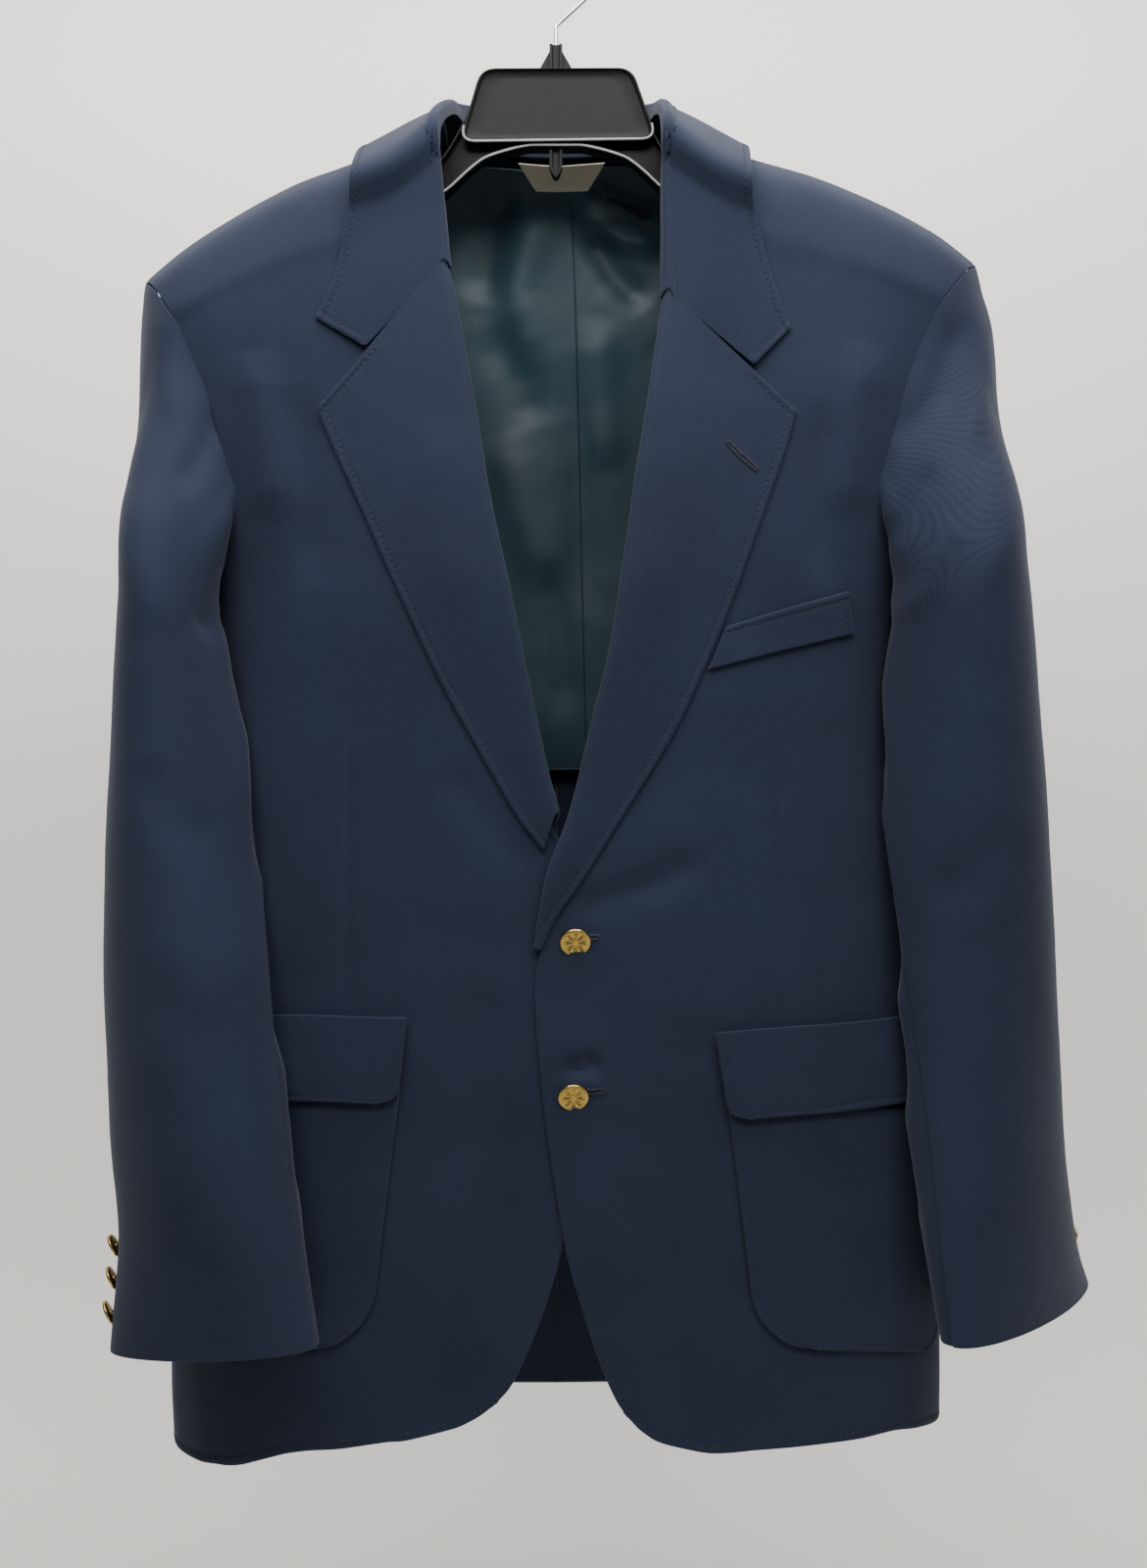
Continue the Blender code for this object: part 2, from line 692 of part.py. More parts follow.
def clear_of_trunk(point):
    """The point, moved out from the trunk's middle line where it would be closer than the clearance."""
    half_width, front, back = read(TRUNK, point.z)
    depth = front if point.y < 0 else back
    in_pocket_zone = smooth_step(-POCKET_ZONE_Z, -POCKET_TOP_Z, -point.z)
    clearance = mix(SLEEVE_CLEARANCE, POCKET_CLEARANCE, in_pocket_zone)
    wide, deep = half_width + clearance, depth + clearance
    reach = (abs(point.x / wide) ** RING_POWER + abs(point.y / deep) ** RING_POWER) ** (1 / RING_POWER)
    if reach >= 1:
        return point
    moved = Vector((point.x / reach, point.y / reach, point.z))
    return point.lerp(moved, smooth_step(-CLEAR_FROM_Z, -CLEAR_BY_Z, -point.z))


def sleeve_point(side, psi, t):
    free = sleeve_section(side, psi, t)
    if t < CAP_BLEND:
        hold = 1 - smooth_step(0.0, CAP_BLEND, t)
        held = armhole_loop(side, psi) + free - sleeve_section(side, psi, 0)
        free = free.lerp(held, hold)
    return clear_of_trunk(free)


def sleeve_part(side, under):
    """The top sleeve goes round the front, the under sleeve round the back, between the two seams."""

    def at(u, v):
        hind = mix(-HIND_STEPS * LOOP_STEP, HIND_SEAM_CUFF, v)
        fore = FORE_STEPS * LOOP_STEP
        if under:
            psi = mix(fore, hind + 2 * math.pi, u)
        else:
            psi = mix(hind, fore, u)
        return sleeve_point(side, psi, v)

    return at


def build_sleeves():
    for side, word in ((1, "left"), (-1, "right")):
        flip = side > 0
        top_steps = HIND_STEPS + FORE_STEPS
        under_steps = LOOP_STEPS - top_steps
        top, under = sleeve_part(side, False), sleeve_part(side, True)
        wall(f"sleeve_top_{word}", top, top_steps, SLEEVE_ROWS, "wool", flip=flip, trim=SLEEVE_TRIM)
        wall(f"sleeve_under_{word}", under, under_steps, SLEEVE_ROWS, "wool", flip=flip, trim=SLEEVE_TRIM)


def collar_stations(side):
    """Stand, crest, middle and edge of each section, from the front end to the middle of the back."""
    stations = []
    lifts = zip(COLLAR_LIFT, COLLAR_MID_LIFT, COLLAR_EDGE_LIFT)
    for row, (lift, mid_lift, edge_lift) in zip(COLLAR_FRONT[side], lifts):
        crest_x, crest_z, mid_x, mid_z, edge_x, edge_z = row
        stations.append(
            [
                front_point(side, crest_x, crest_z, WALL + lift),
                front_point(side, mid_x, mid_z, WALL + mid_lift),
                front_point(side, edge_x, edge_z, WALL + edge_lift),
            ]
        )
    for row in COLLAR_BACK:
        places = [Vector((side * row[k], row[k + 1], row[k + 2])) for k in (0, 3)]
        x, turn, out = row[6:]
        share = cloth_place(side * x, crest(x) - turn_to_drop(turn))[0]
        stations.append(places + [trunk_point(1, share, turn, out)])
    for station, (x, y, z) in zip(stations, STAND):
        station.insert(0, station[0] + Vector((side * x, y, z)))
    return stations


def collar_surface():
    """The stand rises inside to the crest, and the fall lies outside from there to its edge."""
    right = collar_stations(-1)
    stations = right + collar_stations(1)[-2::-1]
    under, over = COLLAR_UNDER, COLLAR_OVER

    def at(u, v):
        base, top, middle, edge = [Vector(along([s[k] for s in stations], v)) for k in range(4)]
        if u <= under:
            return base.lerp(top, u / under) - Vector((0, 0, COLLAR_ROUND * u / under))
        outward = (middle - top).normalized()
        if u < over:
            swing = math.pi * (u - under) / (over - under)
            up = COLLAR_ROUND * (math.sin(swing) - 1)
            return top + Vector((0, 0, up)) + outward * COLLAR_ROUND * (1 - math.cos(swing))
        start = top + outward * 2 * COLLAR_ROUND - Vector((0, 0, COLLAR_ROUND))
        share = (u - over) / (1 - over)
        soft = Vector(along([start, middle, edge], share))
        straight = start.lerp(middle, share * 2) if share < 0.5 else middle.lerp(edge, share * 2 - 1)
        return straight.lerp(soft, smooth_step(0.0, COLLAR_END, min(v, 1 - v)))

    return at


def build_collar():
    wall("collar", collar_surface(), 11, COLLAR_ROWS, "wool")


def rounded(share, corner):
    """How far a bottom corner's round takes the edge in at this share of the way down."""
    if share < 1 - corner:
        return 0.0
    rise = (share - 1 + corner) / corner
    return 1 - math.sqrt(max(1 - rise * rise, 0.0))


def pocket_surface(side, top, bottom, outer_rise, corner, out):
    """A piece on the front from its inner edge, top and bottom as seen, to near the side seam."""
    (top_share, top_turn), (bottom_share, bottom_turn) = seen_place(*top), seen_place(*bottom)
    top_z = trunk_point(-1, top_share, top_turn).z
    bottom_z = trunk_point(-1, bottom_share, bottom_turn).z

    def at(u, v):
        pull = rounded(v, corner[1]) * corner[0]
        inner = mix(top_share, bottom_share, v)
        share = mix(inner, side * POCKET_OUTER_SHARE, mix(pull, 1 - pull, u))
        z = mix(top_z, bottom_z, v) + outer_rise * u
        flat = trunk_point(-1, *level_place(share, z), out)
        return flat + Vector((0, -overlap_lift(side, flat.x), 0))

    return at


def build_pockets():
    for side, word in ((1, "left"), (-1, "right")):
        patch = pocket_surface(side, *PATCH[side], PATCH_RISE, PATCH_CORNER, WALL + REST_GAP)
        wall(f"pocket_{word}", patch, 11, 9, "wool", flip=side < 0)
        flap_out = 2 * (WALL + REST_GAP) + FLAP_LIFT
        flap = pocket_surface(side, *FLAP[side], FLAP_RISE[side], FLAP_CORNER, flap_out)
        wall(f"flap_{word}", flap, 11, 7, "wool", flip=side < 0)


def welt_surface(u, v):
    (tx, tz), (ux, uz), (bx, bz), (cx, cz) = WELT
    x, z = mix(mix(tx, ux, u), mix(bx, cx, u), v), mix(mix(tz, uz, u), mix(bz, cz, u), v)
    return front_point(1, x, z, WALL + REST_GAP)


def lining_surface(side, inset):
    """Half of the back's lining, from the neck down; the halves lap at the middle."""

    def at(u, v):
        reach = mix(LINING_NECK_X, LINING_SIDE_X, smooth_step(0.0, LINING_WIDENING, v))
        x = side * mix(-mix(*LINING_LAP[side], v), reach, u)
        z = mix(LINING_TOP, LINING_HEM, v**LINING_ROW_POWER)
        hang = inset + LINING_SLACK * smooth_step(LINING_SLACK_FROM, LINING_SLACK_BY, v)
        return trunk_point(1, *cloth_place(x, z), -hang)

    return at


def build_lining():
    wall("lining_left", lining_surface(1, LINING_INSET), 6, 10, "lining", LINING_WALL, flip=True)
    inner = LINING_INSET + LINING_WALL + REST_GAP
    wall("lining_right", lining_surface(-1, inner), 6, 10, "lining", LINING_WALL)


def label_surface(u, v):
    half = LABEL_WIDTH / 2 - LABEL_SLANT * v
    x, z = LABEL_X + mix(-half, half, u), LABEL_Z - LABEL_HEIGHT * (v - 0.5)
    out = LINING_INSET + 2 * (LINING_WALL + REST_GAP)
    return trunk_point(1, *cloth_place(x, z), -out)


def turned(name, profile, sides, slot, place, axis):
    """A solid turned round an axis; the profile's first column is the radius, its second the height."""
    mesh = bpy.data.meshes.new(name)
    vertices = [(radius * MM, 0, height * MM) for radius, height in profile]
    mesh.from_pydata(vertices, [(i, i + 1) for i in range(len(vertices) - 1)], [])
    made = add_object(name, mesh, slot)
    screw = made.modifiers.new("turn", "SCREW")
    screw.steps = screw.render_steps = sides
    screw.use_merge_vertices = True
    screw.merge_threshold = 1e-5
    made.location = place * MM
    made.rotation_mode = "QUATERNION"
    made.rotation_quaternion = axis.to_track_quat("Z", "Y")
    return made


def button_profile(diameter):
    """From the middle of the domed face, round the rim, to the shank that the thread holds."""
    face = [(share * diameter / 2, height) for share, height in BUTTON_FACE]
    return face + [(SHANK_R, SHANK_TOP), (SHANK_R, 0.0), (0.0, 0.0)]


def cuff_place(side, t):
    """A cuff button's point on the sleeve and the way it faces, away from the arm."""
    psi = CUFF_BUTTON_PSI
    round_step = sleeve_point(side, psi + ROUND_STEP, t) - sleeve_point(side, psi - ROUND_STEP, t)
    down_step = sleeve_point(side, psi, t + LENGTH_STEP) - sleeve_point(side, psi, t - LENGTH_STEP)
    out = round_step.cross(down_step).normalized() * side
    return sleeve_point(side, psi, t), out if out.x * side > 0 else -out


def build_buttons():
    for number, (x, z) in enumerate(FRONT_BUTTONS, 1):
        place = front_point(1, x, z, WALL + BUTTON_GAP)
        profile = button_profile(FRONT_BUTTON_D)
        turned(f"button_front_{number}", profile, FRONT_BUTTON_SIDES, "brass", place, Vector((0, -1, 0)))
    for side, word in ((1, "left"), (-1, "right")):
        for number, t in enumerate(CUFF_BUTTON_SHARES[side], 1):
            here, out = cuff_place(side, t)
            place = here + out * (WALL + BUTTON_GAP)
            profile = button_profile(CUFF_BUTTON_D)
            turned(f"button_{word}_{number}", profile, CUFF_BUTTON_SIDES, "brass", place, out)


def oval(value):
    """A cosine or sine, drawn out so that the section's corners are fuller than an ellipse's."""
    return math.copysign(abs(value) ** HANGER_POWER, value)


def build_hanger():
    """The moulding, lofted from one end to the other in oval-cornered sections."""
    left_to_right = [(-x, *rest) for x, *rest in HANGER[::-1]] + list(HANGER)
    sides = HANGER_SIDES
    vertices, faces = [], []
    for x, top, bottom, half in left_to_right:
        for k in range(sides):
            angle = 2 * math.pi * k / sides
            y = half * oval(math.cos(angle))
            z = (top + bottom) / 2 + (top - bottom) / 2 * oval(math.sin(angle))
            vertices.append((x * MM, y * MM, z * MM))
    count = len(left_to_right)
    for r in range(count - 1):
        for k in range(sides):
            a, b = r * sides + k, r * sides + (k + 1) % sides
            faces.append((a, b, b + sides, a + sides))
    faces.append(tuple(range(sides))[::-1])
    faces.append(tuple((count - 1) * sides + k for k in range(sides)))
    mesh = bpy.data.meshes.new("hanger_body")
    mesh.from_pydata(vertices, [], faces)
    add_object("hanger_body", mesh, "hanger")
    foot = HANGER[0][1] + NECK_SEAT
    neck = ((0.0, NECK_TOP), (NECK_R, NECK_TOP), (NECK_R, foot), (0.0, foot))
    turned("hanger_neck", neck, NECK_SIDES, "hanger", Vector((0, 0, 0)), Vector((0, 0, 1)))


def hook_point(angle):
    """A point of the wire's round, whose inner side passes through the origin at its top."""
    reach = HOOK_R + HOOK_WIRE_R
    return Vector((reach * math.cos(angle), 0, reach * math.sin(angle) - HOOK_R))


def build_hook():
    """The wire stands in the neck, leans over and rounds the rail, which its crown would rest on."""
    foot = Vector((0.0, 0.0, NECK_TOP + NECK_SEAT))
    bend = foot + Vector((0, 0, HOOK_STEM))
    points = [foot, foot.lerp(bend, 0.5), bend]
    points += [bend.lerp(hook_point(HOOK_START), share) for share in HOOK_LEAN]
    points += [hook_point(mix(HOOK_START, HOOK_END, k / HOOK_STEPS)) for k in range(HOOK_STEPS + 1)]
    curve = bpy.data.curves.new("hanger_hook", "CURVE")
    curve.dimensions = "3D"
    curve.bevel_depth = HOOK_WIRE_R * MM
    curve.bevel_resolution = HOOK_ROUNDING
    curve.use_fill_caps = True
    spline = curve.splines.new("POLY")
    spline.points.add(len(points) - 1)
    for slot, point in zip(spline.points, points):
        slot.co = (*(point * MM), 1.0)
    add_object("hanger_hook", curve, "hook")


def main():
    for old in list(bpy.data.objects):
        bpy.data.objects.remove(old)
    bpy.context.scene.collection.children.link(bpy.data.collections.new("blazer"))
    material("wool", (0.03, 0.04, 0.08), 0.85)
    material("lining", (0.05, 0.11, 0.13), 0.35)
    material("brass", (0.55, 0.4, 0.12), 0.3, 1.0)
    material("label", (0.7, 0.66, 0.55), 0.7)
    material("hanger", (0.02, 0.02, 0.02), 0.4)
    material("hook", (0.7, 0.7, 0.72), 0.25, 1.0)
    build_trunk()
    build_lapels()
    build_sleeves()
    build_collar()
    build_pockets()
    wall("breast_welt", welt_surface, 5, 2, "wool")
    build_lining()
    wall("label", label_surface, 4, 2, "label", LABEL_WALL, flip=True)
    build_buttons()
    build_hanger()
    build_hook()


main()
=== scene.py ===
"""The looks of a navy blazer on a hanger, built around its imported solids."""

import functools
import math

import bpy
import numpy as np
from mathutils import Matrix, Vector

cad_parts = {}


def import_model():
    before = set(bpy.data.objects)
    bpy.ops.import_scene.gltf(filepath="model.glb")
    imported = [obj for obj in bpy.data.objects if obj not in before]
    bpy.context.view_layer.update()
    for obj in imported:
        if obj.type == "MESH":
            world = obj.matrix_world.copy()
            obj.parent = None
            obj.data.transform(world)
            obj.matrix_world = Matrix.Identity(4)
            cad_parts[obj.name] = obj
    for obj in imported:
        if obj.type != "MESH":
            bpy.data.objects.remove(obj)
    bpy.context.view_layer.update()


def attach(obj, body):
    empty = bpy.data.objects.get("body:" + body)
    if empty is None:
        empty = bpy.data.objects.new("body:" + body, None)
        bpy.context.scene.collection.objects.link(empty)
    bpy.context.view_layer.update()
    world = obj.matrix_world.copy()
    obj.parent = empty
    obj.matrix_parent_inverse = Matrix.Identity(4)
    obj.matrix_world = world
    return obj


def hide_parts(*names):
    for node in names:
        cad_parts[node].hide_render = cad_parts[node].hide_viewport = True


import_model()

MM = 0.001

# Cloth
WALL = 1.8
REST_GAP = 0.9
RING_POWER = 2.5
QUARTER = math.pi / 2

# The shoulder turns from front to back over a round of this height, its seam a little to the front
SHOULDER_ROUND = 45.0
SEAM_FORWARD = 14.0

# Edges that are read from the front lie in the plane y = 0 as seen from this eye
EYE_X, EYE_Y, EYE_Z = 10.8, -1100.0, -517.2
SIGHT_STEPS = 12
SHAPE_STEPS, SHAPE_START_Z = 8, -200.0

# z, half width, depth of the front, depth of the back
TRUNK = (
    (-940, 229, 62, 74),
    (-880, 232, 64, 73),
    (-800, 231, 66, 72),
    (-620, 215, 68, 66),
    (-500, 203, 70, 62),
    (-400, 207, 74, 68),
    (-300, 240, 72, 70),
    (-210, 268, 66, 66),
    (-80, 270, 60, 58),
)

# Distance from the middle, height of the shoulder's crest
RIDGE = {
    1: ((0, -100), (62, -112), (107, -137), (157, -152), (224, -181), (262, -207)),
    -1: ((0, -100), (62, -114), (115, -141), (160, -158), (219, -191), (256, -219)),
}
NECK_X = 66.0
SHOULDER_X = {1: 252.0, -1: 245.0}
# Where the neck point and the shoulder point lie below the crest, and the top of the collar's side
NECK_DROP, SHOULDER_DROP = 6.0, 5.0
COLLAR_SIDE_OUT, COLLAR_SIDE_Z = 5.0, -160.0

# Seen x, seen z of the front's armhole, from the shoulder seam down
ARMHOLE_FRONT = {
    1: ((239, -217), (227, -238), (216, -265), (208, -293), (201, -320), (198, -345)),
    -1: ((-236, -227), (-226, -247), (-215, -272), (-207, -298), (-200, -325), (-196, -350)),
}
# The back's armhole: its x as a share of the shoulder's, and its true z
ARMHOLE_BACK = ((0.965, -240.0), (0.91, -285.0), (0.855, -335.0))
# Two places on the shoulder's round as shares of the seam's turn, and the last one above the armpit
ARMHOLE_BACK_TURNS = (0.4, 1.6)
ARMHOLE_LOW_SHARE, ARMHOLE_LOW_RISE = 0.82, 12.0
ARMPIT_Z = -402.0
ARMPIT_V = 1 / 3
PANEL_ROWS = 24
LOOP_STEP = math.pi / (PANEL_ROWS * ARMPIT_V)

# Seen x, seen z of each lapel: its roll edge beside its outer edge, from the gorge to the button
LAPEL = {
    1: (
        (64.8, -223, 145.2, -291),
        (61, -246, 137, -319),
        (55.5, -285, 123, -359),
        (45.6, -351, 103.2, -415),
        (33.5, -432, 77.4, -476),
        (22, -481, 61, -506),
        (8, -540, 38, -543),
        (-3, -574, 17, -577),
        (-8, -600, 0.5, -601),
        (-11.5, -620, -8.6, -620.5),
    ),
    -1: (
        (-65.4, -204.5, -142.8, -288),
        (-60.5, -222, -139.5, -301),
        (-51, -275, -118, -349),
        (-41.4, -337, -93, -406),
        (-28, -402, -68, -460),
        (-14, -470, -45, -502),
        (-4, -518, -23, -540),
        (-1, -530, -14, -552),
        (1, -540, -7.5, -560.5),
    ),
}
LAPEL_ROUND = 2.6
LAPEL_TUCK = 6.0
LAPEL_EDGE_LIFT = 0.6
# The roll starts this far in where the lapel is wide, so that its round ends at the line as read
ROLL_IN, ROLL_IN_WIDTH = 4.2, 34.0
# Shares of the lapel's surface that are tucked under and that end the roll, and the most of its width
LAPEL_UNDER, LAPEL_OVER = 0.18, 0.42
TUCK_SHARE, ROUND_SHARE = 0.6, 0.12

# Seen x, seen z of each front's edge below its lapel, down to the round corner
FRONT_EDGE = {
    1: (
        (-12.6, -641),
        (-10.8, -677),
        (-5.4, -729),
        (5.4, -798),
        (16.2, -838),
        (27.2, -871.5),
        (36.2, -892.5),
        (43, -902.9),
    ),
    -1: (
        (18, -600),
        (20, -640),
        (18, -700),
        (12, -752),
        (4.2, -798),
        (-6, -836),
        (-18.5, -867.5),
        (-27.5, -885.6),
        (-37, -896.4),
    ),
}
# Seen x, seen z of each front's hem from that corner towards the side
FRONT_HEM = {
    1: ((52.6, -913), (66, -920.8), (88, -925.8), (119, -925), (156, -921.6), (188, -917), (213, -911.5)),
    -1: (
        (-48, -904.6),
        (-64, -912),
        (-90, -918.6),
        (-112, -921),
        (-152, -925),
        (-178, -930),
        (-196, -934),
        (-215, -931.5),
    ),
}
SIDE_HEM_Z = {1: -898.0, -1: -908.0}
BACK_HEM_Z = -908.5
BLADE_POWER = 1.6
OVERLAP_LIFT = 2.6
OVERLAP_NEAR, OVERLAP_FAR = 30.0, 70.0

# True x without its sign and true z of the back's neck seam, from the shoulder to the middle
BACK_NECK = ((52.0, -116.0), (30.0, -120.0), (0.0, -122.0))

# Each sleeve's sections: x and z of the outer edge and its y, the same of the inner edge, half thickness
SLEEVE = {
    1: (
        (252, -228, 0, 199, -398, -14, 88),
        (276, -295, 0, 196, -415, -18, 84),
        (289, -380, 0, 195, -446, -24, 78),
        (296, -465, 2, 196, -490, -34, 70),
        (303, -570, 6, 204, -560, -46, 60),
        (307, -650, 10, 217, -640, -58, 50),
        (311, -728, 14, 229, -728, -72, 40),
        (318, -788, 18, 237, -808, -84, 31),
        (326, -818, 22, 243.6, -862, -90, 25),
    ),
    -1: (
        (-243, -234, 0, -198, -398, -14, 88),
        (-262, -300, 0, -192, -415, -18, 84),
        (-268, -400, -4, -187, -446, -26, 78),
        (-273, -490, -10, -183, -500, -40, 70),
        (-276, -577, -22, -181, -577, -56, 60),
        (-276, -640, -34, -176, -642, -70, 52),
        (-273, -727, -52, -168, -727, -84, 43),
        (-268, -795, -66, -158, -800, -94, 33),
        (-273, -863, -76, -147, -862, -102, 24),
    ),
}
# A section's outer edge is brought in till the silhouette of its whole oval, seen by the eye, is as read
FIT_ROUNDS, FIT_BY_T, FIT_POINTS = 5, 0.25, 36
FIT_TURNS = tuple(2 * math.pi * k / FIT_POINTS for k in range(FIT_POINTS))
SLEEVE_CLEARANCE = 2 * WALL + 4.6
POCKET_CLEARANCE = 4 * WALL + 2 * REST_GAP + 5.5
POCKET_TOP_Z, POCKET_ZONE_Z = -625.0, -570.0
CLEAR_FROM_Z, CLEAR_BY_Z = -300.0, -370.0
CAP_BLEND = 0.22
# The sleeve starts at the armhole's seam and stands clear of the trunk by this share of its length
SEAM_GAP, CLEAR_BY_T = 0.15, 0.06
HIND_STEPS, FORE_STEPS = 3, 8
HIND_SEAM_CUFF = -0.12
# The under sleeve's edges run on a little below the top sleeve's at the two seams
UNDER_TUCK, UNDER_SINK, UNDER_MARGIN = 0.05, 1.4, 0.08

# Collar stations from the front end to the middle of the back: crest, middle of the fall, outer edge.
# The first four are seen x and z. The rest are true x, y, z for the crest and the middle, and for the
# edge its x, its turn below the shoulder's crest and how far it lies out from the back.
COLLAR_FRONT = {
    1: (
        (65, -221.5, 118, -265.6, 142, -240.5),
        (65, -185, 101, -213, 130.5, -212),
        (64, -150, 93, -172, 119, -178),
        (63.5, -125, 89.5, -146, 113.5, -155),
    ),
    -1: (
        (-65.2, -203.5, -113.5, -254, -145.2, -234.5),
        (-67, -175, -103, -209, -132.5, -207),
        (-69, -148, -96, -172, -124, -175),
        (-69.5, -125, -95, -147, -118.5, -153),
    ),
}
COLLAR_BACK = (
    (64, -6, -101, 88, -2, -114, 111, 0, 10),
    (58, 22, -93, 77, 34, -115, 97, 32, 8.5),
    (33, 46, -87, 44, 60, -106, 54, 36, 6),
    (0, 53, -85, 0, 62.5, -106, 0, 35, 5.6),
)
COLLAR_LIFT = (5.5, 6.5, 8.5, 12.0)
COLLAR_MID_LIFT = (2.7, 6.0, 8.5, 12.0)
COLLAR_EDGE_LIFT = (0.4, 1.2, 4.0, 9.5)
COLLAR_END = 0.03
COLLAR_ROUND = 2.6
# Shares of the collar's surface that end the stand and the roll
COLLAR_UNDER, COLLAR_OVER = 0.3, 0.5
# How far the foot of the stand lies from the crest at each station
STAND = (
    (-2, 4, -6),
    (-1.5, 5, -9),
    (-1, 5, -9),
    (-1, 4, -8),
    (-1, 2, -8),
    (-5, -3, -20),
    (-3, -5, -31),
    (0, -5.5, -33),
)

# Pockets: seen x and z of the inner edge's top and bottom; the outer edge is a share of the way round
FLAP = {1: ((94.5, -673.0), (103.0, -727.0)), -1: ((-88.2, -664.0), (-94.0, -717.0))}
FLAP_RISE = {1: 9.0, -1: 1.0}
PATCH = {1: ((104.0, -716.0), (121.0, -866.5)), -1: ((-94.0, -706.0), (-112.0, -867.0))}
PATCH_RISE = -8.0
FLAP_LIFT = 0.5
POCKET_OUTER_SHARE = 0.86
# The round of the lower corners as shares of the width and of the height
PATCH_CORNER, FLAP_CORNER = (0.2, 0.24), (0.06, 0.15)
WELT = ((102.6, -423.0), (175.8, -401.0), (91.8, -449.4), (179.4, -427.2))

# Lining on the inside of the back
LINING_TOP, LINING_HEM = -121.0, -499.0
LINING_NECK_X, LINING_SIDE_X = 56.0, 150.0
LINING_SLACK = 3.0
LINING_WIDENING = 0.35
LINING_SLACK_FROM, LINING_SLACK_BY = 0.2, 0.6
LINING_WALL = 1.0
# How far each half reaches past the middle, at its top and at its hem
LINING_LAP = {1: (5.0, 5.0), -1: (7.5, 20.0)}
LINING_INSET = 4.4
LINING_ROW_POWER = 1.7
LABEL_WIDTH, LABEL_HEIGHT, LABEL_X, LABEL_Z = 56.0, 13.0, 3.4, -123.5
LABEL_SLANT = 11.0
LABEL_WALL = 1.0

# Buttons: diameters, places as seen on the front, and shares of the sleeve's length and round
FRONT_BUTTON_D, CUFF_BUTTON_D = 18.0, 14.0
FRONT_BUTTONS = ((11.7, -614.8), (10.5, -709.2))
CUFF_BUTTON_SHARES = {1: (0.81, 0.85, 0.89), -1: (0.879, 0.912, 0.946)}
CUFF_BUTTON_PSI = 0.15
BUTTON_GAP = 0.4
ROUND_STEP, LENGTH_STEP = 0.05, 0.01
SHANK_TOP = 1.1

# Hanger: x, top, bottom, half depth of the moulding
HANGER = (
    (4.8, -86, -147, 5),
    (5.4, -86, -129, 7),
    (16, -86, -129, 7),
    (42, -87, -136, 6.5),
    (52, -106, -143, 6.5),
    (70, -137, -159, 9),
    (100, -150, -166, 13),
    (150, -159.2, -173, 17),
    (190, -177.8, -189, 18),
    (212, -192.8, -200, 14),
)
NECK_TOP = -65.4
HOOK_WIRE_R, HOOK_R = 1.3, 22.0
HOOK_STEM = 12.0
HOOK_START, HOOK_END = math.radians(-40.0), math.radians(205.0)


def hermite(low, high, slope_low, slope_high, t):
    """Smooth value between low and high, with those slopes for the whole step."""
    t2, t3 = t * t, t * t * t
    return (
        (2 * t3 - 3 * t2 + 1) * low
        + (t3 - 2 * t2 + t) * slope_low
        + (3 * t2 - 2 * t3) * high
        + (t3 - t2) * slope_high
    )


def read(table, key):
    """All columns of a table but its first, smooth in that first column."""
    if key <= table[0][0]:
        return list(table[0][1:])
    if key >= table[-1][0]:
        return list(table[-1][1:])
    i = max(k for k, row in enumerate(table) if row[0] <= key)
    here, there = table[i], table[i + 1]
    before, after = table[max(i - 1, 0)], table[min(i + 2, len(table) - 1)]
    step = there[0] - here[0]
    t = (key - here[0]) / step
    values = []
    for c in range(1, len(here)):
        slope_here = (there[c] - before[c]) / (there[0] - before[0]) * step
        slope_there = (after[c] - here[c]) / (after[0] - here[0]) * step
        values.append(hermite(here[c], there[c], slope_here, slope_there, t))
    return values


def along(points, t):
    """The point at share t of a smooth curve through equal steps of the given points."""
    last = len(points) - 1
    place = min(max(t, 0.0), 1.0) * last
    i = min(int(place), last - 1)
    here, there = points[i], points[i + 1]
    before, after = points[max(i - 1, 0)], points[min(i + 2, last)]
    return [
        hermite(p, q, (q - b) / 2, (a - p) / 2, place - i)
        for b, p, q, a in zip(before, here, there, after)
    ]


def smooth_step(low, high, value):
    t = min(max((value - low) / (high - low), 0.0), 1.0)
    return t * t * (3 - 2 * t)


def mix(a, b, t):
    return a + (b - a) * t


def side_of(x):
    return 1 if x >= 0 else -1


def crest(x, out=0.0):
    """Height of the shoulder's crest above x."""
    return read(RIDGE[side_of(x)], abs(x))[0] + out


def drop_to_turn(drop):
    """How far below the crest a height is, as a place along the shoulder's round and the wall."""
    if drop >= SHOULDER_ROUND:
        return drop
    return SHOULDER_ROUND * math.acos(1 - max(drop, 0.0) / SHOULDER_ROUND) / QUARTER


def turn_to_drop(turn):
    if abs(turn) >= SHOULDER_ROUND:
        return abs(turn)
    return SHOULDER_ROUND * (1 - math.cos(turn / SHOULDER_ROUND * QUARTER))


def cloth_place(x, z):
    """The share of the way round to the side seam, signed as x, and the turn below the crest."""
    half_width = read(TRUNK, z)[0]
    share = math.asin(min(abs(x) / half_width, 1.0) ** (RING_POWER / 2)) / QUARTER
    return side_of(x) * share, drop_to_turn(crest(x) - z)


def level_place(share, z):
    """The place on the cloth at a share of the way round and at the height z."""
    across = math.sin(abs(share) * QUARTER) ** (2 / RING_POWER)
    x = math.copysign(across * read(TRUNK, z)[0], share)
    return share, drop_to_turn(crest(x) - z)


def overlap_lift(side, x):
    """The wearer's left front lies on the right one near the middle."""
    if side < 0:
        return 0.0
    return OVERLAP_LIFT * (1 - smooth_step(OVERLAP_NEAR, OVERLAP_FAR, x))


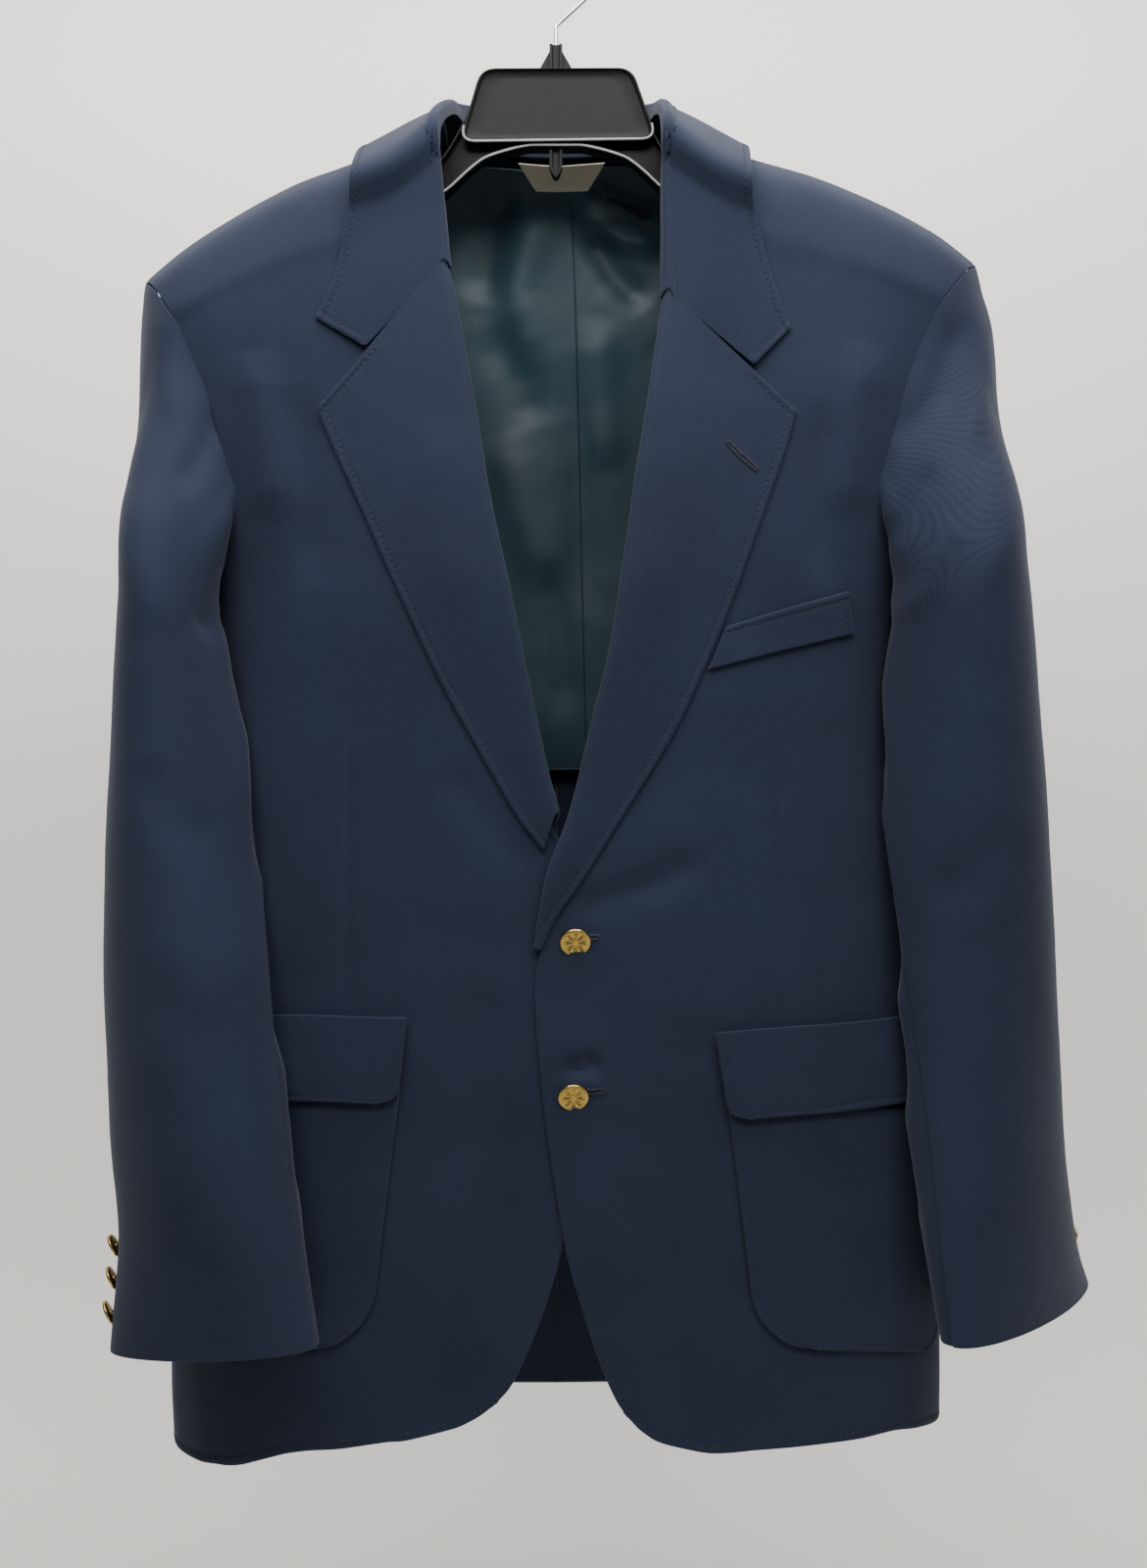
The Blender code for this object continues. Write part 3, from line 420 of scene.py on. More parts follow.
def trunk_point(face, share, turn, out=0.0):
    """A point of the trunk: face is -1 for the front and 1 for the back."""
    angle = abs(share) * QUARTER
    across = math.copysign(math.sin(angle) ** (2 / RING_POWER), share)
    deep = max(math.cos(angle), 0.0) ** (2 / RING_POWER)
    z = SHAPE_START_Z
    for _ in range(SHAPE_STEPS):
        half_width, front, back = read(TRUNK, z)
        x = across * (half_width + out)
        z = crest(x, out) - turn_to_drop(turn)
    depth = (front if face < 0 else back) + out
    swing = min(max(turn / SHOULDER_ROUND, -1.0), 1.0) * QUARTER
    return Vector((x, face * depth * deep * math.sin(swing), z))


def true_from_seen(x, z, y):
    """The place at depth y that is seen at x, z in the plane y = 0."""
    share = (y - EYE_Y) / -EYE_Y
    return mix(EYE_X, x, share), mix(EYE_Z, z, share)


def seen_place(x, z):
    """The place on the front's cloth that is seen at x, z."""
    y = 0.0
    for _ in range(SIGHT_STEPS):
        true_x, true_z = true_from_seen(x, z, y)
        share, turn = cloth_place(true_x, true_z)
        y = trunk_point(-1, share, turn).y
    return share, turn


def coons(top, bottom, inner, outer):
    """A patch over four edge curves, top and bottom along u, inner and outer along v."""

    def at(u, v):
        t, b, i, o = top(u), bottom(u), inner(v), outer(v)
        c00, c10, c01, c11 = top(0), top(1), bottom(0), bottom(1)
        return [
            mix(t[k], b[k], v)
            + mix(i[k], o[k], u)
            - mix(mix(c00[k], c10[k], u), mix(c01[k], c11[k], u), v)
            for k in (0, 1)
        ]

    return at


def armhole(face, side, v):
    """The armhole from the shoulder seam at v = 0 to the armpit at v = 1."""
    forward = SEAM_FORWARD if face < 0 else -SEAM_FORWARD
    shoulder_x = side * SHOULDER_X[side]
    share = cloth_place(shoulder_x, crest(shoulder_x) - SHOULDER_DROP)[0]
    points = [(share, forward)]
    if face < 0:
        points += [seen_place(x, z) for x, z in ARMHOLE_FRONT[side]]
    else:
        points += [(share, -forward * turns) for turns in ARMHOLE_BACK_TURNS]
        points += [cloth_place(shoulder_x * narrowing, z) for narrowing, z in ARMHOLE_BACK]
    armpit_turn = crest(side * read(TRUNK, ARMPIT_Z)[0]) - ARMPIT_Z
    points += [(side * ARMHOLE_LOW_SHARE, armpit_turn - ARMHOLE_LOW_RISE), (side, armpit_turn)]
    return along(points, v)


def side_seam(side, v):
    """The side seam from the armpit to the hem."""
    top = crest(side * read(TRUNK, ARMPIT_Z)[0]) - ARMPIT_Z
    bottom = crest(side * read(TRUNK, SIDE_HEM_Z[side])[0]) - SIDE_HEM_Z[side]
    return side, mix(top, bottom, v)


def outer_edge(face, side, v):
    if v <= ARMPIT_V:
        return armhole(face, side, v / ARMPIT_V)
    return side_seam(side, (v - ARMPIT_V) / (1 - ARMPIT_V))


def lapel_tuck(width):
    """How far the lapel's cloth reaches back inside its roll."""
    return min(LAPEL_TUCK, abs(width) * TUCK_SHARE)


def front_panel(side):
    """From the shoulder seam to the hem, and from the roll line and front edge to the side seam."""
    neck = (cloth_place(side * NECK_X, crest(side * NECK_X) - NECK_DROP)[0], SEAM_FORWARD)
    roll = [seen_place(row[0] + side * lapel_tuck(row[2] - row[0]), row[1]) for row in LAPEL[side]]
    edge = [seen_place(x, z) for x, z in FRONT_EDGE[side]]
    collar_side = seen_place(side * (NECK_X + COLLAR_SIDE_OUT), COLLAR_SIDE_Z)
    inner_points = [neck, collar_side] + roll + edge
    hem_points = [edge[-1]] + [seen_place(x, z) for x, z in FRONT_HEM[side]] + [side_seam(side, 1.0)]
    shoulder = armhole(-1, side, 0.0)

    def top(u):
        return [mix(neck[0], shoulder[0], u), SEAM_FORWARD]

    def bottom(u):
        return along(hem_points, u)

    def inner(v):
        return along(inner_points, v)

    def outer(v):
        return outer_edge(-1, side, v)

    return coons(top, bottom, inner, outer)


def on_front(side, share, turn, out=0.0):
    """A point of a front, moved out from its inner side and lifted where the fronts lap."""
    flat = trunk_point(-1, share, turn, out)
    return flat + Vector((0, -overlap_lift(side, flat.x), 0))


def front_surface(side):
    patch = front_panel(side)
    return lambda u, v: on_front(side, *patch(u, v))


def back_surface(side):
    """From the neck and shoulder seams over the crest and down to the hem, and from the centre seam."""
    neck_start = (cloth_place(side * NECK_X, crest(side * NECK_X) - NECK_DROP)[0], -SEAM_FORWARD)
    neck = [neck_start, (neck_start[0], SEAM_FORWARD)]
    neck += [cloth_place(side * x, z) for x, z in BACK_NECK[:-1]]
    neck_end = cloth_place(0.0, BACK_NECK[-1][1])
    shoulder = armhole(1, side, 0.0)
    blades = level_place(0.0, ARMPIT_Z)
    bottom_middle = level_place(0.0, BACK_HEM_Z)

    def inner(v):
        if v <= ARMPIT_V / 2:
            return along(neck + [neck_end], v / (ARMPIT_V / 2))
        if v <= ARMPIT_V:
            return [0.0, mix(neck_end[1], blades[1], (v * 2 / ARMPIT_V - 1) ** BLADE_POWER)]
        return [0.0, mix(blades[1], bottom_middle[1], (v - ARMPIT_V) / (1 - ARMPIT_V))]

    def top(u):
        return [mix(neck_start[0], shoulder[0], u), -SEAM_FORWARD]

    def bottom(u):
        return level_place(side * u, mix(BACK_HEM_Z, SIDE_HEM_Z[side], u))

    def outer(v):
        return outer_edge(1, side, v)

    patch = coons(top, bottom, inner, outer)
    return lambda u, v: trunk_point(1, *patch(u, v))


def front_point(side, x, z, out):
    """The point of a front that is seen at x, z, moved out from the panel's inner side."""
    return on_front(side, *seen_place(x, z), out)


def lapel_surface(side):
    """From the front's own edge to the roll, over it, and out to the lapel's edge."""
    under, over = LAPEL_UNDER, LAPEL_OVER

    def at(u, v):
        roll_x, roll_z, edge_x, edge_z = along(LAPEL[side], v)
        width = math.hypot(edge_x - roll_x, edge_z - roll_z)
        tuck = lapel_tuck(width)
        rounding = min(LAPEL_ROUND, width * ROUND_SHARE)
        start = ROLL_IN * smooth_step(0.0, ROLL_IN_WIDTH, width)
        if u <= under:
            share = mix(tuck, start, u / under)
            lift = 0.0
        elif u < over:
            swing = math.pi * (u - under) / (over - under)
            share = start - rounding * math.sin(swing)
            lift = rounding * (1 - math.cos(swing))
        else:
            out = (u - over) / (1 - over)
            share = mix(start, width, out)
            lift = mix(2 * rounding, LAPEL_EDGE_LIFT, smooth_step(0.0, 1.0, out))
        direction = share / width
        x, z = mix(roll_x, edge_x, direction), mix(roll_z, edge_z, direction)
        return front_point(side, x, z, WALL + lift)

    return at


@functools.lru_cache(maxsize=None)
def sleeve_frame(side, t):
    """Middle, reach and breadth of the sleeve's oval at share t of its length."""
    x_out, z_out, y_out, x_in, z_in, y_in, half = along(SLEEVE[side], t)
    outer_x, outer_z = true_from_seen(x_out, z_out, y_out)
    inner_x, inner_z = true_from_seen(x_in, z_in, y_in)
    outer, inner = Vector((outer_x, y_out, outer_z)), Vector((inner_x, y_in, inner_z))
    reach = (outer - inner) / 2
    broad = Vector((reach.y, -reach.x, 0)).normalized() * side * half
    for _ in range(FIT_ROUNDS):
        middle, reach = (outer + inner) / 2, (outer - inner) / 2
        widest = max(side * seen_x(oval_point(middle, reach, broad, turn)) for turn in FIT_TURNS)
        outer.x -= side * (widest + WALL - side * x_out)
    outer.x = mix(outer_x, outer.x, smooth_step(0.0, FIT_BY_T, t))
    return (outer + inner) / 2, (outer - inner) / 2, broad


def seen_x(point):
    """Where a point is seen in the plane y = 0."""
    return EYE_X + (point.x - EYE_X) * -EYE_Y / (point.y - EYE_Y)


def oval_point(middle, reach, broad, turn):
    return middle + reach * math.cos(turn) + broad * math.sin(turn)


def sleeve_section(side, psi, t):
    """A point of the sleeve's oval section; psi is 0 at its outer edge."""
    return oval_point(*sleeve_frame(side, t), psi)


def armhole_loop(side, psi):
    """The armhole as a loop: psi is 0 at the shoulder seam and half a turn at the armpit, round the front."""
    turn = psi % (2 * math.pi)
    face = -1 if turn <= math.pi else 1
    v = turn / math.pi if turn <= math.pi else (2 * math.pi - turn) / math.pi
    return trunk_point(face, *armhole(face, side, v)) + Vector((side * SEAM_GAP, 0, 0))


def clear_of_trunk(point, share):
    """The point, moved out from the trunk's middle line where it would be closer than the clearance."""
    half_width, front, back = read(TRUNK, point.z)
    depth = front if point.y < 0 else back
    in_pocket_zone = smooth_step(-POCKET_ZONE_Z, -POCKET_TOP_Z, -point.z)
    clearance = share * mix(SLEEVE_CLEARANCE, POCKET_CLEARANCE, in_pocket_zone)
    wide, deep = half_width + clearance, depth + clearance
    reach = (abs(point.x / wide) ** RING_POWER + abs(point.y / deep) ** RING_POWER) ** (1 / RING_POWER)
    if reach >= 1:
        return point
    moved = Vector((point.x / reach, point.y / reach, point.z))
    return point.lerp(moved, smooth_step(-CLEAR_FROM_Z, -CLEAR_BY_Z, -point.z))


def sleeve_point(side, psi, t):
    free = sleeve_section(side, psi, t)
    if t < CAP_BLEND:
        hold = 1 - smooth_step(0.0, CAP_BLEND, t)
        held = armhole_loop(side, psi) + free - sleeve_section(side, psi, 0)
        free = free.lerp(held, hold)
    return clear_of_trunk(free, smooth_step(0.0, CLEAR_BY_T, t))


def sleeve_part(side, under):
    """The top sleeve goes round the front, the under sleeve round the back, between the two seams."""

    def at(u, v):
        hind = mix(-HIND_STEPS * LOOP_STEP, HIND_SEAM_CUFF, v)
        fore = FORE_STEPS * LOOP_STEP
        if not under:
            return sleeve_point(side, mix(hind, fore, u), v)
        point = sleeve_point(side, mix(fore - UNDER_TUCK, hind + 2 * math.pi + UNDER_TUCK, u), v)
        middle = (sleeve_section(side, 0, v) + sleeve_section(side, math.pi, v)) / 2
        sunk = UNDER_SINK * (1 - smooth_step(0.0, UNDER_MARGIN, min(u, 1 - u)))
        return point + (middle - point).normalized() * sunk

    return at


def collar_stations(side):
    """Stand, crest, middle and edge of each section, from the front end to the middle of the back."""
    stations = []
    lifts = zip(COLLAR_LIFT, COLLAR_MID_LIFT, COLLAR_EDGE_LIFT)
    for row, (lift, mid_lift, edge_lift) in zip(COLLAR_FRONT[side], lifts):
        crest_x, crest_z, mid_x, mid_z, edge_x, edge_z = row
        stations.append(
            [
                front_point(side, crest_x, crest_z, WALL + lift),
                front_point(side, mid_x, mid_z, WALL + mid_lift),
                front_point(side, edge_x, edge_z, WALL + edge_lift),
            ]
        )
    for row in COLLAR_BACK:
        places = [Vector((side * row[k], row[k + 1], row[k + 2])) for k in (0, 3)]
        x, turn, out = row[6:]
        share = cloth_place(side * x, crest(x) - turn_to_drop(turn))[0]
        stations.append(places + [trunk_point(1, share, turn, out)])
    for station, (x, y, z) in zip(stations, STAND):
        station.insert(0, station[0] + Vector((side * x, y, z)))
    return stations


def collar_surface():
    """The stand rises inside to the crest, and the fall lies outside from there to its edge."""
    right = collar_stations(-1)
    stations = right + collar_stations(1)[-2::-1]
    under, over = COLLAR_UNDER, COLLAR_OVER

    def at(u, v):
        base, top, middle, edge = [Vector(along([s[k] for s in stations], v)) for k in range(4)]
        if u <= under:
            return base.lerp(top, u / under) - Vector((0, 0, COLLAR_ROUND * u / under))
        outward = (middle - top).normalized()
        if u < over:
            swing = math.pi * (u - under) / (over - under)
            up = COLLAR_ROUND * (math.sin(swing) - 1)
            return top + Vector((0, 0, up)) + outward * COLLAR_ROUND * (1 - math.cos(swing))
        start = top + outward * 2 * COLLAR_ROUND - Vector((0, 0, COLLAR_ROUND))
        share = (u - over) / (1 - over)
        soft = Vector(along([start, middle, edge], share))
        straight = start.lerp(middle, share * 2) if share < 0.5 else middle.lerp(edge, share * 2 - 1)
        return straight.lerp(soft, smooth_step(0.0, COLLAR_END, min(v, 1 - v)))

    return at


def rounded(share, corner):
    """How far a bottom corner's round takes the edge in at this share of the way down."""
    if share < 1 - corner:
        return 0.0
    rise = (share - 1 + corner) / corner
    return 1 - math.sqrt(max(1 - rise * rise, 0.0))


def pocket_surface(side, top, bottom, outer_rise, corner, out):
    """A piece on the front from its inner edge, top and bottom as seen, to near the side seam."""
    (top_share, top_turn), (bottom_share, bottom_turn) = seen_place(*top), seen_place(*bottom)
    top_z = trunk_point(-1, top_share, top_turn).z
    bottom_z = trunk_point(-1, bottom_share, bottom_turn).z

    def at(u, v):
        pull = rounded(v, corner[1]) * corner[0]
        inner = mix(top_share, bottom_share, v)
        share = mix(inner, side * POCKET_OUTER_SHARE, mix(pull, 1 - pull, u))
        z = mix(top_z, bottom_z, v) + outer_rise * u
        return on_front(side, *level_place(share, z), out)

    return at


def welt_surface(u, v):
    (tx, tz), (ux, uz), (bx, bz), (cx, cz) = WELT
    x, z = mix(mix(tx, ux, u), mix(bx, cx, u), v), mix(mix(tz, uz, u), mix(bz, cz, u), v)
    return front_point(1, x, z, WALL + REST_GAP)


def lining_surface(side, inset):
    """Half of the back's lining, from the neck down; the halves lap at the middle."""

    def at(u, v):
        reach = mix(LINING_NECK_X, LINING_SIDE_X, smooth_step(0.0, LINING_WIDENING, v))
        x = side * mix(-mix(*LINING_LAP[side], v), reach, u)
        z = mix(LINING_TOP, LINING_HEM, v**LINING_ROW_POWER)
        hang = inset + LINING_SLACK * smooth_step(LINING_SLACK_FROM, LINING_SLACK_BY, v)
        return trunk_point(1, *cloth_place(x, z), -hang)

    return at


def label_surface(u, v):
    half = LABEL_WIDTH / 2 - LABEL_SLANT * v
    x, z = LABEL_X + mix(-half, half, u), LABEL_Z - LABEL_HEIGHT * (v - 0.5)
    out = LINING_INSET + 2 * (LINING_WALL + REST_GAP)
    return trunk_point(1, *cloth_place(x, z), -out)


def cuff_place(side, t):
    """A cuff button's point on the sleeve and the way it faces, away from the arm."""
    psi = CUFF_BUTTON_PSI
    round_step = sleeve_point(side, psi + ROUND_STEP, t) - sleeve_point(side, psi - ROUND_STEP, t)
    down_step = sleeve_point(side, psi, t + LENGTH_STEP) - sleeve_point(side, psi, t - LENGTH_STEP)
    out = round_step.cross(down_step).normalized() * side
    return sleeve_point(side, psi, t), out if out.x * side > 0 else -out


def hook_point(angle):
    """A point of the wire's round, whose inner side passes through the origin at its top."""
    reach = HOOK_R + HOOK_WIRE_R
    return Vector((reach * math.cos(angle), 0, reach * math.sin(angle) - HOOK_R))


# Fine cloth: each piece is read from its surface on a coarse net and drawn again on a fine one
EDGE_STEPS = (0.35, 0.8, 1.4, 2.4, 3.5, 4.1, 4.6, 5.1, 6.0)
EDGE_ROUND = 0.8
SWELL = 0.3
STITCH_HOLLOW = 0.4
HOLLOW_WIDTH = 0.75
EDGE_STITCH = 4.6
UNEVEN, UNEVEN_PITCH = 0.9, 105.0
RIPPLE, RIPPLE_PITCH = 0.16, 24.0
# Where the relief of the edge swells between border and stitch, as shares of the stitch's distance
SWELL_AT, SWELL_WIDTH = 0.5, 0.4
# The most of a piece's size that its two turned edges take up each, and the fewest cells between them
EDGE_PART, LEAST_CELLS = 0.25, 3
# A fold fades over its ends: the share that is cut off there, and the gain
FADE_END, FADE_GAIN = 0.02, 1.6
# Swells: their number, and how seed and number set the way, the reach, the length and the start of each
WAVES, WAVE_TURN, WAVE_STEP = 6, 1.7, 2.3
WAVE_SIDE, WAVE_DOWN = 0.6, 0.7
WAVE_LENGTH, WAVE_LONGER = 0.6, 0.33
WAVE_START = 3.1
UNEVEN_SEED, RIPPLE_SEED = 1, 5
# The least share of its flat box that a cut fills
TINY = 1e-9

# Piece, path as seen, half width and height of each fold; a hollow has a height below zero
FOLDS = (
    ("front_right", ((-120.6, -468), (-126, -494), (-127, -577), (-128, -661)), 2.4, -1.5),
    ("front_left", ((130.8, -454), (135, -504), (138.6, -577), (143.4, -665)), 2.4, -1.5),
    ("front_right", ((-185, -250), (-176, -300), (-172, -360)), 14, 3.2),
    ("front_right", ((-160, -270), (-152, -330), (-150, -400)), 12, -2.6),
    ("front_left", ((190, -245), (180, -300), (176, -360)), 14, 3.2),
    ("front_left", ((166, -280), (160, -340), (160, -395)), 12, -2.4),
    ("front_right", ((-70, -500), (-40, -540), (-12, -578)), 12, -1.6),
    ("front_right", ((-70, -640), (-50, -636), (-14, -640)), 14, 1),
    ("front_left", ((96, -560), (60, -578), (4, -596)), 11, -2.6),
    ("front_left", ((4, -693), (14, -690), (28, -685)), 6, -3.4),
    ("front_left", ((4, -704), (16, -700), (30, -702)), 5, 1.4),
    ("front_left", ((24, -722), (44, -732), (60, -748)), 9, -0.8),
    ("front_left", ((60, -760), (66, -830), (70, -900)), 16, -2.6),
    ("front_right", ((-60, -740), (-64, -820), (-70, -900)), 15, 2.4),
    ("front_right", ((-30, -700), (-34, -780), (-44, -860)), 12, -2.2),
    ("sleeve_top_right", ((-206, -283), (-216, -312), (-232, -340)), 9, -2.6),
    ("sleeve_top_right", ((-198, -402), (-206, -414), (-222, -424)), 9, -2.4),
    ("sleeve_top_right", ((-240, -222), (-238, -262), (-232, -300)), 9, 2.2),
    ("sleeve_top_right", ((-250, -330), (-244, -380), (-244, -430)), 16, 2),
    ("sleeve_top_right", ((-256, -500), (-235, -540), (-206, -560)), 14, -1.8),
    ("sleeve_top_right", ((-252, -640), (-225, -665), (-196, -672)), 16, -1.6),
    ("sleeve_top_right", ((-236, -560), (-234, -700), (-236, -820)), 18, 2.2),
    ("sleeve_top_left", ((262, -214), (261, -260), (253, -320)), 7, 2.6),
    ("sleeve_top_left", ((248, -228), (234, -276), (208, -312)), 9, -3.4),
    ("sleeve_top_left", ((232, -322), (218, -350), (202, -372)), 9, -2.6),
    ("sleeve_top_left", ((246, -350), (232, -396), (206, -420)), 10, 2.2),
    ("sleeve_top_left", ((284, -540), (256, -574), (226, -588)), 14, -1.8),
    ("sleeve_top_left", ((262, -480), (266, -640), (280, -800)), 19, 2.2),
    ("sleeve_under", ((270, -330), (268, -380), (262, -430)), 14, -4),
    ("sleeve_under", ((-240, -330), (-236, -380), (-230, -430)), 14, -4),
    ("back_left", ((150, -250), (165, -330), (160, -420)), 16, 3),
    ("back_right", ((-150, -250), (-165, -330), (-160, -420)), 16, 3),
    ("back_left", ((60, -480), (66, -620), (72, -760)), 22, -2.4),
    ("back_right", ((-70, -500), (-66, -640), (-62, -780)), 22, 2.4),
    ("back_left", ((40, -170), (80, -186), (120, -188)), 9, -1.6),
    ("back_right", ((-40, -170), (-80, -186), (-120, -190)), 9, -1.6),
    ("lapel_left", ((60, -300), (66, -360), (60, -420)), 16, 1.4),
    ("lapel_right", ((-66, -290), (-70, -350), (-60, -420)), 16, 1.4),
    ("lining", ((-30, -150), (-40, -185), (-46, -225)), 13, 4),
    ("lining", ((-8, -160), (-24, -215), (-16, -270)), 11, -3),
    ("lining", ((-40, -235), (-24, -262), (-10, -300)), 15, 3),
    ("lining", ((-34, -300), (-22, -350), (-4, -400)), 13, -2.6),
    ("lining", ((16, -150), (34, -160), (66, -172)), 7, 5),
    ("lining", ((14, -168), (40, -184), (66, -190)), 6, -3.5),
    ("lining", ((18, -176), (36, -205), (58, -226)), 9, 4),
    ("lining", ((28, -230), (24, -280), (32, -330)), 13, -3),
    ("lining", ((14, -250), (14, -330), (18, -420)), 11, 2.4),
    ("lining", ((-6, -380), (4, -430), (6, -480)), 9, 2),
)


def cubic_rows(values, shares):
    """Values resampled along their first axis by smooth cubics, at the given shares of the way."""
    last = len(values) - 1
    place = np.clip(np.asarray(shares, float), 0, 1) * last
    i = np.minimum(place.astype(int), last - 1)
    t = (place - i).reshape((-1,) + (1,) * (values.ndim - 1))
    before, here = values[np.maximum(i - 1, 0)], values[i]
    there, after = values[i + 1], values[np.minimum(i + 2, last)]
    return hermite(here, there, (there - before) / 2, (after - here) / 2, t)


def net_of(surface, columns, rows):
    """The surface's points, rows first, in millimetres."""
    return np.array(
        [[tuple(surface(i / columns, j / rows)) for i in range(columns + 1)] for j in range(rows + 1)]
    )


def shares_with_edges(count, length):
    """Even shares of a length, with closer ones near both ends for a turned edge."""
    ends = [0.0] + [step / length for step in EDGE_STEPS if step < length * EDGE_PART]
    middle = np.linspace(ends[-1], 1 - ends[-1], max(count, LEAST_CELLS))[1:-1]
    return np.concatenate([ends, middle, 1 - np.array(ends[::-1])])


def finer(net, step):
    """A net drawn again so that its cells are about step millimetres wide."""
    wide = np.linalg.norm(np.diff(net, axis=1), axis=2).sum(axis=1).max()
    tall = np.linalg.norm(np.diff(net, axis=0), axis=2).sum(axis=0).max()
    fine = cubic_rows(net, shares_with_edges(int(tall / step), tall))
    fine = cubic_rows(np.swapaxes(fine, 0, 1), shares_with_edges(int(wide / step), wide))
    return np.swapaxes(fine, 0, 1)


def normals_of(grid, flip):
    across = np.gradient(grid, axis=1)
    down = np.gradient(grid, axis=0)
    normal = np.cross(down, across)
    normal /= np.maximum(np.linalg.norm(normal, axis=2, keepdims=True), TINY)
    return -normal if flip else normal


def run_along(grid, axis, parts=(0, 1, 2)):
    """The running length along an axis of the grid, counted in the given coordinates only."""
    steps = np.linalg.norm(np.diff(grid[..., list(parts)], axis=axis), axis=2)
    return np.insert(np.cumsum(steps, axis=axis), 0, 0.0, axis=axis)


def border_distances(grid):
    """How far each point is from the borders u = 0, u = 1, v = 0 and v = 1, along the grid."""
    across, down = run_along(grid, 1), run_along(grid, 0)
    return {"u0": across, "u1": across[:, -1:] - across, "v0": down, "v1": down[-1:, :] - down}


def seen_xz(grid):
    """Where each point is seen in the plane y = 0."""
    share = -EYE_Y / (grid[..., 1] - EYE_Y)
    return EYE_X + (grid[..., 0] - EYE_X) * share, EYE_Z + (grid[..., 2] - EYE_Z) * share


def bump_along(x, z, path, width):
    """1 on a path and 0 a width away from it, fading towards the path's two ends."""
    best = np.zeros_like(x)
    lengths = [math.dist(a, b) for a, b in zip(path, path[1:])]
    total, run = sum(lengths), 0.0
    for (ax, az), (bx, bz), length in zip(path, path[1:], lengths):
        share = np.clip(((x - ax) * (bx - ax) + (z - az) * (bz - az)) / (length * length), 0, 1)
        away = np.hypot(x - ax - share * (bx - ax), z - az - share * (bz - az))
        place = (run + share * length) / total
        fade = np.clip(np.sin(math.pi * np.clip(place, FADE_END, 1 - FADE_END)) * FADE_GAIN, 0, 1)
        best = np.maximum(best, np.exp(-((away / width) ** 2)) * fade)
        run += length
    return best


def waves(grid, seed, pitch):
    """Uneven soft swells between -1 and 1, which run on from one piece into the next."""
    total = np.zeros(grid.shape[:2])
    for k in range(WAVES):
        turn = seed * WAVE_TURN + k * WAVE_STEP
        way = np.array([math.cos(turn), WAVE_SIDE * math.sin(2 * turn), WAVE_DOWN * math.sin(turn)])
        length = pitch * (WAVE_LENGTH + WAVE_LONGER * k)
        total += np.sin(grid @ way / length * 2 * math.pi + seed * WAVE_START + k)
    return total / WAVES


def folded(name, grid, flip, out, uneven):
    """The grid with the folds of the piece's table pressed in or raised along its normals."""
    x, z = seen_xz(grid)
    height = np.full_like(x, out)
    for piece, path, width, rise in FOLDS:
        if name.startswith(piece):
            height = height + rise * bump_along(x, z, path, width)
    height = height + uneven * UNEVEN * waves(grid, UNEVEN_SEED, UNEVEN_PITCH)
    height = height + uneven * RIPPLE * waves(grid, RIPPLE_SEED, RIPPLE_PITCH)
    return grid + normals_of(grid, flip) * height[..., None]


def edge_profile(distance, stitch_at):
    """The turned edge: round at the border, a little swelled, then a stitched hollow."""
    inside = np.clip(distance / EDGE_ROUND, 0, 1)
    height = -EDGE_ROUND * (1 - np.sqrt(np.clip(1 - (1 - inside) ** 2, 0, 1)))
    if stitch_at:
        swell = (distance - stitch_at * SWELL_AT) / (stitch_at * SWELL_WIDTH)
        height = height + SWELL * np.exp(-(swell**2))
        height = height - STITCH_HOLLOW * np.exp(-(((distance - stitch_at) / HOLLOW_WIDTH) ** 2))
    return height


def cloth_uv(grid, anchor):
    """Flat coordinates in metres, so that the twill keeps one slope all over a piece."""
    if anchor == "length":
        return run_along(grid, 0) * MM, run_along(grid, 1) * MM
    across = run_along(grid, 1, (0, 1))
    way = np.sign(grid[:, -1:, 0] - grid[:, :1, 0])
    if anchor == "u1":
        across = grid[:, -1:, 0] - way * (across[:, -1:] - across)
    else:
        across = grid[:, :1, 0] + way * across
    return across * MM, (run_along(grid, 0, (1, 2)) - grid[:1, :, 2]) * MM


def grid_mesh(name, grid, flip, uv):
    rows, columns = grid.shape[:2]
    index = np.arange(rows * columns).reshape(rows, columns)
    quads = [index[:-1, :-1], index[1:, :-1], index[1:, 1:], index[:-1, 1:]]
    quads = np.stack(quads, axis=-1).reshape(-1, 4)
    if flip:
        quads = quads[:, ::-1]
    mesh = bpy.data.meshes.new(name)
    mesh.from_pydata((grid.reshape(-1, 3) * MM).tolist(), [], quads.tolist())
    layout = mesh.uv_layers.new(name="cloth")
    loops = np.empty(len(mesh.loops), dtype=np.int64)
    mesh.loops.foreach_get("vertex_index", loops)
    flat = np.stack([uv[0].reshape(-1), uv[1].reshape(-1)], axis=-1)
    layout.data.foreach_set("uv", flat[loops].reshape(-1).astype(np.float32))
    mesh.shade_smooth()
    return mesh


def add_piece(name, data, look, nodes=()):
    made = bpy.data.objects.new(name, data)
    bpy.context.scene.collection.objects.link(made)
    data.materials.append(look)
    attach(made, "root")
    if nodes:
        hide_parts(*nodes)
    return made


# Each cloth piece's displaced grid, plain grid and flip, for the stitches that are set on it
DRESSED = {}


def edges(stitched="", plain=""):
    """Borders with their stitch distance: the stitched ones, and plain ones without."""
    return {**dict.fromkeys(stitched.split(), EDGE_STITCH), **dict.fromkeys(plain.split())}


